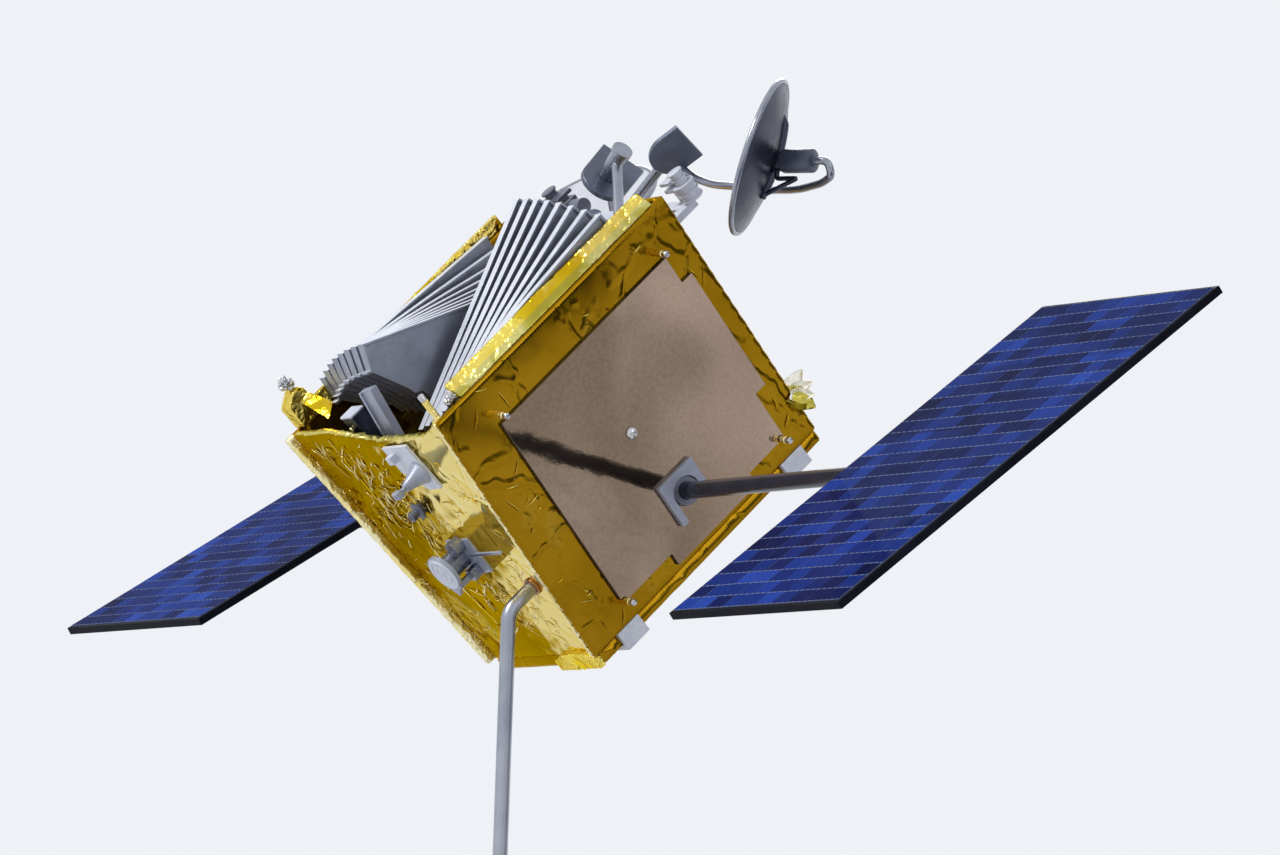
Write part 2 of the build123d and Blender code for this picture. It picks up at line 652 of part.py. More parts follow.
def make_thruster():
    x0, x1 = box_x
    z0, z1 = box_z
    box = section([(x0, z0), (x1, z0), (x1, z1), (x0, z1)], -box_depth, 0)
    nodes["thruster_bracket"] = place(box)
    face = box_depth + box_frame
    plate = section([(x0, z0), (x1, z0), (x1, z1), (x0, z1)], -face, -box_depth)
    x, z = thruster_place
    barrel = standing(x, z, thruster_diameter, face, thruster_length)
    knuckle = standing(*knuckle_place, knuckle_diameter, face, knuckle_length)
    disc_start = face + thruster_length
    disc = standing(x, z, disc_diameter, disc_start, disc_thickness)
    ear = Pos(x, -disc_start, z - disc_diameter / 2) * Rot(0, 45, 0) * Box(
        disc_ear, disc_thickness, disc_ear, align=(Align.CENTER, Align.MAX, Align.CENTER))
    lug_x, lug_z = lug_place
    lug = Pos(lug_x, -face, lug_z) * Box(lug_size, lug_size, lug_size,
                                         align=(Align.CENTER, Align.MAX, Align.CENTER))
    bar = Pos(lug_x, -face, lug_z) * Box(lug_bar, thruster_length + disc_thickness, lug_bar,
                                         align=(Align.MAX, Align.MAX, Align.CENTER))
    probe = rod((x1 - lug_size, -face, z), (x1 + probe_length, -face, z), probe_diameter)
    nodes["thruster"] = place(plate + barrel + knuckle + disc + ear + lug + bar + probe)


def make_tracker():
    plate = section(tracker_outline, -tracker_spacer - tracker_thickness, -tracker_spacer)
    x, z = horn_place
    spacer = standing(x, z, horn_spacer_diameter, 0, tracker_spacer)
    bx, bz = tracker_block_place
    width, depth, height = tracker_block
    face = tracker_spacer + tracker_thickness
    block = Pos(bx, -face, bz) * Box(width, depth, height, align=(Align.CENTER, Align.MAX, Align.CENTER))
    nodes["tracker_plate"] = place(plate + spacer + block)
    base = Plane(origin=(x, -face, z), z_dir=(0, -1, 0))
    bell = [(0, 0), (horn_radius, 0), (horn_throat_radius, horn_length), (0, horn_length)]
    horn = base * revolve(Plane.XZ * make_face(Polyline(*bell, close=True)), axis=Axis.Z)
    throat = Vector(x, -face - horn_length, z)
    along = Vector(0, -1, 0)
    stem = rod(throat - along * stem_diameter, throat + along * stem_length, stem_diameter)
    width, depth, height = stem_end
    tip = throat + along * stem_length
    end = Pos(tip.X, tip.Y, tip.Z) * Box(width, depth, height, align=(Align.CENTER, Align.MAX, Align.CENTER))
    nodes["tracker_horn"] = place(horn + stem + end)


def make_fittings():
    x, z = valve_place
    valve = standing(x, z, valve_diameter, 0, valve_length)
    collar = standing(x, z, valve_flange, valve_length * 0.25, valve_flange_thickness)
    nodes["front_valve"] = place(valve + collar)
    ear = extrude(Plane.YZ * make_face(Polyline(*ear_outline, close=True)), amount=ear_width)
    ear = Pos(-half_top, 0, 0) * ear
    knob_x = ear_knob_diameter - half_top
    knob_y = (ear_outline[2][0] + ear_outline[3][0]) / 2
    knob_z = ear_outline[2][1]
    knob = rod((knob_x, knob_y, knob_z), (knob_x, knob_y, knob_z + ear_knob_length), ear_knob_diameter)
    nodes["corner_block"] = place(ear + knob)
    deck = -deck_drop
    x, y = stay_foot
    stay = Box(stay_width, stay_thickness, stay_length, align=(Align.CENTER, Align.CENTER, Align.MIN))
    for side in (-1, 1):
        stay = stay + Pos(side * (stay_width - stay_rib) / 2, -stay_thickness / 2, 0) * Box(
            stay_rib, stay_rib, stay_length, align=(Align.CENTER, Align.MAX, Align.MIN))
    stay = Rot(-stay_lean_deg, 0, 0) * Rot(0, 0, stay_turn_deg) * Pos(0, 0, -stay_width) * stay
    stay = Pos(x, y, deck) * stay
    stay = split(stay, bisect_by=Plane(origin=(0, 0, deck), z_dir=(0, 0, 1)), keep=Keep.TOP)
    nodes["cavity_stay"] = place(stay)
    x, y = latch_place
    latch = Pos(x, y, deck) * Box(*latch_box, align=(Align.CENTER, Align.CENTER, Align.MIN))
    nodes["cavity_latch"] = place(latch)


def make_zenith_trim():
    half = half_bottom - zenith_inset
    thick = zenith_bracket_thickness
    front, back = zenith_bracket_insets
    brackets = []
    for y in (front, bus_length - back - zenith_bracket_length):
        plate = Pos(half, y, -bus_depth) * Box(thick, zenith_bracket_length, zenith_bracket_height,
                                               align=(Align.MIN, Align.MIN, Align.MAX))
        foot = Pos(half + thick, y, -bus_depth - zenith_thickness) * Box(
            zenith_bracket_foot, zenith_bracket_length, thick, align=(Align.MAX, Align.MIN, Align.MAX))
        brackets.append(plate + foot)
    brackets += [mirrored(bracket) for bracket in brackets]
    nodes["zenith_brackets"] = place(Compound(children=brackets))
    x0, x1 = corner_wrap_x
    low = -bus_depth - zenith_thickness
    top = low + corner_wrap_height
    side = top - corner_wrap_height * 0.35
    slant = corner_wrap_height
    wrap = section([(x0, low), (x1, low), (x1, side), (x1 - slant, top), (x0 + slant, top), (x0, side)],
                   -corner_wrap_depth, 0)
    nodes["corner_wrap"] = place(wrap)


make_stand()
make_bus()
make_sides()
make_wing("near")
make_wing("far")
make_blades()
make_beam()
make_gateway("near")
make_gateway("far")
make_thruster()
make_tracker()
make_fittings()
make_zenith_trim()

os.makedirs("parts", exist_ok=True)
for name, shape in nodes.items():
    export_step(shape, f"parts/{name}.step")
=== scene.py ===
import json
import math

import bpy
import bmesh
import numpy as np
from mathutils import Matrix, Vector

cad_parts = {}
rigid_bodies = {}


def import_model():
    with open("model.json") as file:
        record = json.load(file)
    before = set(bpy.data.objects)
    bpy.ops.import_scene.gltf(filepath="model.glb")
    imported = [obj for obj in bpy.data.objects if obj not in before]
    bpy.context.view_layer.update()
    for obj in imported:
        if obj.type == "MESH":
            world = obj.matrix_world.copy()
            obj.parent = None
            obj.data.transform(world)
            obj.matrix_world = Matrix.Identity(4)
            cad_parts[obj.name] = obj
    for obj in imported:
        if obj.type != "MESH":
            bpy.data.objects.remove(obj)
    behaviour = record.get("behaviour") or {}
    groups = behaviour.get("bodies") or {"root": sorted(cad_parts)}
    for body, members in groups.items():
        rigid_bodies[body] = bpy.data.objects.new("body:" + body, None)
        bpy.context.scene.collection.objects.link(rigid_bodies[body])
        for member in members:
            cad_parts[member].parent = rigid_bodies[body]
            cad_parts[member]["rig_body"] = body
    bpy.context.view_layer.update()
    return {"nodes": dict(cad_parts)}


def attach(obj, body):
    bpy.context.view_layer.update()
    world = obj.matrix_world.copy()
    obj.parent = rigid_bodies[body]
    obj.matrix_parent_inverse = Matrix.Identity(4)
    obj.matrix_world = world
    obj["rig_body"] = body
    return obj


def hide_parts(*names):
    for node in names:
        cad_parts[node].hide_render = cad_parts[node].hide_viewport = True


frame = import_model()
print("frame loaded:", len(frame["nodes"]), "nodes")

# The satellite is worked out in its own level frame in millimetres and then pitched onto the stand:
# x along the wings, y from the front plate to the back, z towards the blades.
stand = {"pitch": 45.0, "elbow": (34.0, -15.0, -86.0), "elbowHeight": 252.0}
bus = {"length": 136.0, "depth": 122.0, "halfTop": 65.0, "halfBottom": 45.0}
pitchCos, pitchSin = math.cos(math.radians(stand["pitch"])), math.sin(math.radians(stand["pitch"]))
slope = math.atan2(bus["halfTop"] - bus["halfBottom"], bus["depth"])  # lean of the side panels
xWay, yWay, zWay = np.eye(3)
joined = {"own": 1e-6, "cad": 2e-6}  # metres within which points are one, on new pieces and on CAD copies
finish = {}  # the materials by name


def pitched(points):
    # turns satellite points in millimetres by the pitch and moves them onto the stand, in metres
    x, y, z = np.moveaxis(np.asarray(points, float) - stand["elbow"], -1, 0)
    height = pitchSin * y + pitchCos * z + stand["elbowHeight"]
    return np.stack([x, pitchCos * y - pitchSin * z, height], axis=-1) / 1000.0


def levelled(points):
    # the inverse of pitched: metres on the stand back to satellite millimetres
    x, y, z = np.moveaxis(np.asarray(points, float) * 1000.0, -1, 0)
    z = z - stand["elbowHeight"]
    return np.stack([x, pitchCos * y + pitchSin * z, pitchCos * z - pitchSin * y], axis=-1) + stand["elbow"]


def unit(v):
    v = np.asarray(v, float)
    return v / np.linalg.norm(v, axis=-1, keepdims=True)


def mirrored(points):
    return points * np.array([-1.0, 1, 1])


def onSlope(y, s, lift):
    # a point on the near side panel: y along the bus, s down the slope, lift off the panel
    c, t = math.cos(slope), math.sin(slope)
    y, s, lift = np.broadcast_arrays(y, s, lift)
    return np.stack([bus["halfTop"] - s * t + lift * c, y, -s * c - lift * t], axis=-1)


# Shapes as arrays: each maker gives its points and its quads.


def ringFaces(rings, sides):
    # the quads between rings of points, closed round each ring
    ring, side = np.meshgrid(np.arange(rings - 1) * sides, np.arange(sides), indexing="ij")
    after, below = (side + 1) % sides, ring + sides
    return np.stack([ring + side, ring + after, below + after, below + side], axis=-1).reshape(-1, 4)


def capped(rings):
    # a run of rings, each end closed by points in the middle of its ring
    sides = rings.shape[1]
    ends = [np.repeat(end.mean(axis=1, keepdims=True), sides, axis=1) for end in (rings[:1], rings[-1:])]
    rings = np.concatenate([ends[0], rings, ends[1]])
    return rings.reshape(-1, 3), ringFaces(len(rings), sides)


def thickSheet(top, down):
    # a grid of points as a closed sheet: each row goes back along its underside
    return capped(np.concatenate([top, (top + down)[:, ::-1]], axis=1))


def circle(first, second, sides):
    # round a circle: cos t first + sin t second
    t = np.arange(sides) * 2 * math.pi / sides
    return np.cos(t)[:, None] * first + np.sin(t)[:, None] * second


def lathe(origin, axis, profile, segments=48):
    # turned about an axis: each (radius r, height h) gives the ring origin + h axis + r (cos t, sin t)
    axis = unit(axis)
    first = unit(np.cross(axis, xWay if abs(axis[0]) < 0.8 else yWay))
    radius, height = np.asarray(profile, float).T[:, :, None, None]
    ring = circle(first, np.cross(axis, first), segments)
    points = np.asarray(origin, float) + height * axis + radius * ring
    return points.reshape(-1, 3), ringFaces(len(profile), segments)


def eased(radius, start, end, ease):
    # profile of a round bar from start to end with eased edges
    near = ease * 0.3
    return [(0, start), (radius - ease, start), (radius - near, start + near), (radius, start + ease),
            (radius, end - ease), (radius - near, end - near), (radius - ease, end), (0, end)]


def tube(path, radius, sides):
    # rings of the radius square to the path
    along = unit(np.gradient(path, axis=0))
    flat = np.linalg.svd(path - path.mean(axis=0))[2][2]  # square to the plane that the path keeps to best
    side = unit(np.cross(along, flat))
    return capped(path[:, None] + radius * circle(side[:, None], np.cross(along, side)[:, None], sides))


def bentPath(corners, share=0.45, steps=14):
    # straight runs joined by the curves (1-t)^2 a + 2t(1-t) corner + t^2 b
    t = np.linspace(0, 1, steps)[:, None]
    runs = [corners[0][None]]
    for before, corner, after in zip(corners[:-2], corners[1:-1], corners[2:]):
        reach = share * min(np.linalg.norm(corner - before), np.linalg.norm(after - corner))
        a, b = corner + unit(before - corner) * reach, corner + unit(after - corner) * reach
        runs.append((1 - t) ** 2 * a + 2 * t * (1 - t) * corner + t ** 2 * b)
    return np.concatenate(runs + [corners[-1][None]])


def plate(origin, axes, outline, thickness, ease):
    # an outline round its own middle, raised by the thickness, with eased edges
    middle = (outline.max(axis=0) + outline.min(axis=0)) / 2
    inner = 1 - ease / np.abs(outline - middle).max()
    out = np.cross(*axes)
    rings = [(0, 0), (inner, 0), (1, ease), (1, thickness - ease), (inner, thickness), (0, thickness)]
    points = [origin + (middle + (outline - middle) * scale) @ np.stack(axes) + out * lift
              for scale, lift in rings]
    return np.concatenate(points), ringFaces(len(rings), len(outline))


def block(origin, axes, size, ease):
    # a box from its bottom's middle: size along the two axes, then its height
    x, y, height = size
    return plate(origin, axes, np.array([(-x, -y), (x, -y), (x, y), (-x, y)]) / 2, height, ease)


def alongWaves(p, count, seed, shortest, longest, bend=0.0):
    # how far p lies along waves of random direction, length in millimetres and start, and their lengths
    chance = np.random.default_rng(seed)
    towards = unit(chance.normal(size=(count, 3)))
    length = chance.uniform(shortest, longest, count)
    return ((p + bend) @ towards.T) / length + chance.uniform(0, 1, count), length


def waveField(p, *waves):
    # the mean of sine waves of random direction
    return np.sin(alongWaves(p, *waves)[0] * 2 * math.pi).mean(axis=1)


def foldField(p, *waves):
    # the mean of triangle waves of random direction: flat facets that meet in sharp folds
    return (np.abs((alongWaves(p, *waves)[0] % 1.0) - 0.5) * 4 - 1).mean(axis=1)


def ridgeField(p, lines, seed, spacing, width, share):
    # thin ridges of random direction, max(0, 1 - distance / width), each kept where its own soft wave is high
    bend = np.stack([waveField(p, 2, seed + 50 + k, 30.0, 70.0) for k in range(3)], axis=1) * 2.0
    along, length = alongWaves(p, lines, seed, spacing * 0.6, spacing * 1.4, bend)
    distance = np.abs((along % 1.0) - 0.5) * length
    kept = np.stack([waveField(p, 3, seed + 90 + k, 14.0, 40.0) for k in range(lines)], axis=1)
    return (np.clip(1 - distance / width, 0, 1) * (kept > share)).max(axis=1)


# Objects from arrays.


def linked(name, data):
    thing = bpy.data.objects.new(name, data)
    bpy.context.scene.collection.objects.link(thing)
    return thing


def setMaterials(mesh, names):
    # the finishes whose names stand in one line, with spaces between
    mesh.materials.clear()
    for name in names.split():
        mesh.materials.append(finish[name])


def buildMesh(name, points, faces, materials, body, smooth=True, uv=None, replaces=(), which=None):
    # one object at the origin with its place in its mesh; which gives each quad its material
    mesh = bpy.data.meshes.new(name)
    mesh.from_pydata(points, [], faces, shade_flat=not smooth)
    setMaterials(mesh, materials)
    if which is not None:
        mesh.polygons.foreach_set("material_index", np.asarray(which, np.int32))
    if uv is not None:
        layer = mesh.uv_layers.new(name="UVMap")
        layer.data.foreach_set("uv", np.asarray(uv, np.float32)[faces.ravel()].ravel())
    mesh.validate()
    thing = linked(name, mesh)
    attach(thing, body)
    if replaces:
        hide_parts(*replaces)
    return thing


class Skin:
    # gathers patches of satellite points and quads, each with its material, into one piece
    def __init__(self):
        self.points, self.faces, self.which, self.count = [], [], [], 0

    def add(self, patch, material=0):
        points, faces = patch
        self.points.append(points)
        self.faces.append(faces + self.count)
        self.which.append(np.full(len(faces), material))
        self.count += len(points)
        return self

    def moved(self, change):
        self.points = [change(points) for points in self.points]

    def build(self, name, materials, body, replaces=(), slot=None, sharp=38.0):
        # one piece with its poles and seams merged and its faces turned outwards
        points, faces, which = (np.concatenate(parts) for parts in (self.points, self.faces, self.which))
        mesh = buildMesh(name, pitched(points), faces, materials, body, replaces=replaces,
                         which=which).data
        work = bmesh.new()
        work.from_mesh(mesh)
        bmesh.ops.remove_doubles(work, verts=work.verts, dist=joined["own"])
        bmesh.ops.dissolve_degenerate(work, edges=work.edges, dist=joined["own"])
        bmesh.ops.recalc_face_normals(work, faces=work.faces)
        work.to_mesh(mesh)
        work.free()
        mesh.set_sharp_from_angle(angle=math.radians(sharp))


class Shade:
    # wraps one socket: sums, products and the like on it add their Math nodes
    def __init__(self, tree, socket=None):
        self.tree, self.socket = tree, socket

    def node(self, kind, inputs=None, output=0, **settings):
        # any node: its settings first, then the values or links of its sockets
        made = self.tree.nodes.new("ShaderNode" + kind)
        for name, value in settings.items():
            if name == "stops":
                stops = made.color_ramp.elements
                while len(stops) < len(value):
                    stops.new(1.0)
                for stop, (place, colour) in zip(stops, value):
                    stop.position, stop.color = place, (*colour, 1.0)
            else:
                setattr(made, name, value)
        for name, value in (inputs or {}).items():
            socket = made.inputs[name]
            if isinstance(value, Shade):
                self.tree.links.new(value.socket, socket)
            else:
                socket.default_value = (*value, 1.0) if socket.type == "RGBA" else value
        return Shade(self.tree, made.outputs[output] if made.outputs else None)

    def outlet(self, name):
        # another output of the same node
        return Shade(self.tree, self.socket.node.outputs[name])

    def math(self, operation, *values):
        return self.node("Math", dict(enumerate(values)), operation=operation)

    def __add__(self, other):
        return self.math("ADD", self, other)

    def __sub__(self, other):
        return self.math("SUBTRACT", self, other)

    def __rsub__(self, other):
        return self.math("SUBTRACT", other, self)

    def __mul__(self, other):
        return self.math("MULTIPLY", self, other)

    __radd__ = __add__
    __rmul__ = __mul__

    def fraction(self):
        return self.math("FRACT", self)

    def edges(self, low, high):
        # 1 near whole numbers of this, 0 between them
        part = self.fraction()
        return 1.0 - part.math("MINIMUM", part, 1.0 - part).within(low, high)

    def within(self, low, high):
        # 0 below low, 1 above high, smooth between
        limits = {"Value": self, "From Min": low, "From Max": high}
        return self.node("MapRange", limits, interpolation_type="SMOOTHSTEP")

    def between(self, first, second):
        # first where this is 0, second where it is 1
        return self.node("Mix", {0: self, 6: first, 7: second}, 2, data_type="RGBA")

    def noise(self, scale, detail=2.0, roughness=0.5, distortion=0.0, output=0):
        # noise at this place
        return self.node("TexNoise", {"Vector": self, "Scale": scale, "Detail": detail, "Roughness": roughness,
                                      "Distortion": distortion}, output)

    def voronoi(self, scale, feature="F1"):
        return self.node("TexVoronoi", {"Vector": self, "Scale": scale}, feature=feature)

    def vector(self, operation, inputs=None, output=0):
        # this vector with another one or a scale
        return self.node("VectorMath", {0: self, **(inputs or {})}, output, operation=operation)

    def bump(self, distance, strength=1.0):
        # the normal that this height gives
        return self.node("Bump", {"Height": self, "Distance": distance, "Strength": strength})


def startMaterial(name):
    # an empty material and the maker of its nodes
    made = bpy.data.materials.new(name)
    made.use_nodes = True
    made.node_tree.nodes.clear()
    return made, Shade(made.node_tree)


def table(columns, rows):
    # one dictionary for each row, with the columns' names
    return {name: dict(zip(columns.split(), row)) for name, row in rows.items()}


def makeFinishes(recipe, looks):
    # one material for each look; its recipe gives the values and sockets of the surface shader
    for name, look in looks.items():
        finish[name], maker = startMaterial(name)
        surface = maker.node("BsdfPrincipled", recipe(maker, look))
        maker.node("OutputMaterial", {"Surface": surface})


def objectPlace(maker):
    return maker.node("TexCoord", output=3)


# Metallised films. Scales are of the folds, the crinkles and the patches that hold them; relief is the height
# of the waves, folds and crinkles; the glint colour is a painted highlight on the crinkle patches.
foilLooks = table("colour deep glint roughness scales patchLow relief", {
    "amberFilm": ((0.37, 0.2, 0.007), (0.29, 0.15, 0.004), (0.62, 0.42, 0.05), 0.13, (24, 120, 30), 0.62,
                  (0.08, 0.03, 0.12)),
    "paleGoldFilm": ((0.4, 0.255, 0.014), (0.21, 0.125, 0.004), (0.85, 0.7, 0.2), 0.1, (30, 130, 26), 0.56,
                     (0.1, 0.04, 0.3)),
    "brightGoldFilm": ((0.92, 0.7, 0.035), (0.6, 0.38, 0.008), (1, 0.9, 0.35), 0.15, (60, 190, 60), 0.42,
                       (0.1, 0.04, 0.25)),
    "darkGoldFilm": ((0.34, 0.22, 0.014), (0.16, 0.095, 0.005), (0.62, 0.45, 0.05), 0.14, (40, 150, 40), 0.5,
                     (0.1, 0.03, 0.2)),
    "oliveFilm": ((0.42, 0.34, 0.11), (0.26, 0.2, 0.05), (0.62, 0.45, 0.05), 0.14, (40, 150, 40), 0.5,
                  (0.03, 0.03, 0.05)),
    # pale gold, which also serves as the painted glints of the curls and front edges
    "tornGoldFilm": ((0.98, 0.9, 0.5), (0.9, 0.72, 0.16), (1, 0.97, 0.78), 0.22, (60, 300, 80), 0.42,
                     (0.05, 0.02, 0.12)),
    "whiteGoldFilm": ((0.95, 0.93, 0.82), (0.92, 0.84, 0.52), (1, 0.99, 0.92), 0.32, (60, 300, 80), 0.42,
                      (0.05, 0.02, 0.12)),
    "limeGoldFilm": ((0.62, 0.54, 0.1), (0.4, 0.33, 0.035), (0.92, 0.88, 0.45), 0.16, (60, 190, 60), 0.42,
                     (0.1, 0.04, 0.2))})
# the pale colour and its spread along x are a painted reflection on the front film
foilLooks["paleGoldFilm"].update({"pale": (0.88, 0.78, 0.4), "paleSpread": 22, "paleLow": 0.32,
                                  "paleSoft": 0.42, "grazing": (1, 0.8, 0.3)})


def foilRecipe(maker, look):
    # flat stretches, fold lines, and small sharp crinkles in patches, which painted glints lighten
    foldScale, crinkleScale, patchScale = look["scales"]
    wave, fold, crinkle = look["relief"]
    place = objectPlace(maker)
    bent = place.vector("ADD", {1: place.noise(60.0, output=1).vector("SCALE", {"Scale": 0.012})})
    broad = bent.voronoi(foldScale, "DISTANCE_TO_EDGE")
    facets, small = bent.voronoi(crinkleScale), bent.voronoi(crinkleScale * 2.7)
    patch = place.noise(patchScale, 3.0).within(look["patchLow"], look["patchLow"] + 0.12)
    height = place.noise(34.0) * wave + (1.0 - broad.within(0.0, 0.05)) * fold
    height += (facets * 0.9 + small * 0.4) * patch * crinkle
    tint = place.noise(22.0, 3.0).within(0.35, 0.68).between(look["colour"], look["deep"])
    if "pale" in look:  # painted reflection: the film turns pale, with a ragged edge, along x
        across = maker.node("SeparateXYZ", {0: bent})
        ragged = facets * 0.55 + place.noise(45.0, 5.0, 0.62) * 1.25
        low = look["paleLow"]
        pale = (across * look["paleSpread"] + ragged).within(low, low + look["paleSoft"])
        tint = pale.between(tint, look["pale"])
    rough = look["roughness"] + patch * 0.10 + place.noise(420.0) * 0.05
    # painted highlight: the crinkle patches lean towards the bright colour
    return {"Base Color": (patch * 0.35).between(tint, look["glint"]), "Metallic": 1.0, "Roughness": rough,
            "Specular Tint": look.get("grazing", (1.0, 0.86, 0.45)), "Normal": height.bump(0.004)}


makeFinishes(foilRecipe, foilLooks)

radiatorLook = {"colour": (0.45, 0.325, 0.250), "deep": (0.190, 0.140, 0.095), "roughness": 0.035,
                "waveScale": 15.0, "wave": 0.17, "peelScale": 400.0, "peel": 0.0028,
                "cloudScale": 11.0, "cloud": 0.84, "fleckScale": 620.0, "fleck": 0.16}


def radiatorRecipe(maker, look):
    # bronze mirror film: long soft waves, an even orange peel and, as painted reflection, a broad cloud of
    # darker bronze
    place = objectPlace(maker)
    waves = place.noise(look["waveScale"], 3.0, 0.55, 0.6)
    peel = place.noise(look["peelScale"], 2.0, 0.6)
    cloud = place.noise(look["cloudScale"], 1.0, 0.5, 0.9).within(0.32, 0.68)
    fleck = place.noise(look["fleckScale"], 3.0, 0.6).within(0.35, 0.68)
    # painted reflection: the cloud darkens the bronze in broad soft patches
    tint = (cloud * look["cloud"] + fleck * look["fleck"]).between(look["colour"], look["deep"])
    return {"Base Color": tint, "Metallic": 1.0, "Roughness": look["roughness"] + cloud * 0.03,
            "Normal": (waves * look["wave"] + peel * look["peel"]).bump(0.004)}


makeFinishes(radiatorRecipe, {"bronzeMirrorFilm": radiatorLook})

printLooks = table("colour shade roughness metallic layers relief specular", {
    "greyPrint": ((0.17, 0.185, 0.235), (0.12, 0.13, 0.175), 0.34, 0.35),
    "palePrint": ((0.4, 0.43, 0.53), (0.31, 0.335, 0.43), 0.32, 0.3),
    "bladePrint": ((0.35, 0.38, 0.47), (0.26, 0.285, 0.36), 0.28, 0.4),
    # painted highlight: a lighter copy of the blade grey, for the flange tops
    "flangePrint": ((0.8, 0.83, 0.9), (0.66, 0.69, 0.78), 0.3, 0.2),
    "whitePrint": ((0.7, 0.73, 0.82), (0.6, 0.63, 0.73), 0.36, 0.05),
    "barrelPaint": ((0.3, 0.32, 0.39), (0.2, 0.215, 0.27), 0.2, 0.8),
    "shieldPaint": ((0.115, 0.135, 0.19), (0.085, 0.1, 0.145), 0.3, 0.35, "X"),
    "dishPaint": ((0.058, 0.066, 0.1), (0.032, 0.038, 0.062), 0.24, 0.75, "X"),
    "dishWhite": ((0.7, 0.72, 0.77), (0.62, 0.64, 0.7), 0.34, 0.0, "X"),
    "armPaint": ((0.36, 0.38, 0.44), (0.27, 0.285, 0.34), 0.2, 0.8, "X", 0.4),
    "boomPaint": ((0.022, 0.025, 0.042), (0.016, 0.018, 0.03), 0.14, 0.0, "X", 0.05, 0.35)})


def printRecipe(maker, look):
    # printed plastic under satin paint: fine build layers, a grain and a soft mottle
    place = objectPlace(maker)
    layers = maker.node("TexWave", {"Vector": place, "Scale": 420.0, "Distortion": 0.6, "Detail": 1.0},
                        bands_direction=look.get("layers", "Z"), wave_profile="SIN")
    mottle = place.noise(90.0, 4.0, 0.6).within(0.3, 0.72)
    height = layers * 0.5 + place.noise(1600.0, 2.0, 0.6) * 0.5
    return {"Base Color": mottle.between(look["colour"], look["shade"]), "Metallic": look["metallic"],
            "Roughness": look["roughness"] + mottle * 0.08, "Specular IOR Level": look.get("specular", 0.5),
            "Normal": height.bump(0.0001, 0.6 * look.get("relief", 1.0))}


makeFinishes(printRecipe, printLooks)

steelLooks = table("colour shade roughness stretch", {
    "rodSteel": ((0.42, 0.44, 0.5), (0.32, 0.34, 0.4), 0.26, 0.03),
    "pinSteel": ((0.62, 0.62, 0.64), (0.5, 0.5, 0.52), 0.18, 1.0),
    "copperRing": ((0.5, 0.27, 0.14), (0.36, 0.18, 0.09), 0.28, 1.0)})


def steelRecipe(maker, look):
    # drawn metal: streaks, stretched along z on the rod, and a soft cloud
    place = objectPlace(maker)
    drawn = maker.node("Mapping", {"Vector": place, "Scale": (1.0, 1.0, look["stretch"])})
    streaks = drawn.noise(260.0, 3.0, 0.6)
    cloud = place.noise(40.0, 3.0).within(0.3, 0.7)
    return {"Base Color": cloud.between(look["colour"], look["shade"]), "Metallic": 1.0,
            "Roughness": look["roughness"] + streaks * 0.14, "Normal": streaks.bump(0.00004, 0.7)}


makeFinishes(steelRecipe, steelLooks)

baseLook = {"colour": (0.018, 0.018, 0.020), "dust": (0.035, 0.034, 0.033), "roughness": 0.30}


def baseRecipe(maker, look):
    # black paint on metal: a fine orange peel and faint dust
    place = objectPlace(maker)
    dust = place.noise(30.0, 5.0, 0.65).within(0.48, 0.75)
    return {"Base Color": dust.between(look["colour"], look["dust"]),
            "Roughness": look["roughness"] + dust * 0.2,
            "Normal": place.noise(700.0).bump(0.00008, 0.5)}


makeFinishes(baseRecipe, {"basePaint": baseLook})

boardLook = {"colour": (0.005, 0.006, 0.011), "shade": (0.01, 0.011, 0.02), "roughness": 0.42,
             "specular": 0.04}


def boardRecipe(maker, look):
    # black board: a faint weave and a soft mottle
    place = objectPlace(maker)
    weave = maker.node("TexChecker", {"Vector": place, "Scale": 420.0}, 1)
    mottle = place.noise(60.0, 4.0).within(0.35, 0.7)
    return {"Base Color": mottle.between(look["colour"], look["shade"]),
            "Roughness": look["roughness"] + mottle * 0.15,
            "Specular IOR Level": look["specular"], "Normal": weave.bump(0.00004, 0.5)}


makeFinishes(boardRecipe, {"wingBoard": boardLook})

cellLook = {
    "blues": [(0.0, (0.0040, 0.007, 0.045)), (0.35, (0.0060, 0.014, 0.095)), (0.6, (0.009, 0.026, 0.175)),
              (0.82, (0.012, 0.042, 0.280)), (1.0, (0.022, 0.068, 0.390))],
    "finger": (0.05, 0.10, 0.34), "fingers": 28.0, "gap": (0.005, 0.007, 0.026), "dash": (0.30, 0.37, 0.62),
    "dashes": 3.0, "blocks": (0.25, 0.34, 1.0), "roughness": 0.20, "coat": 0.09}


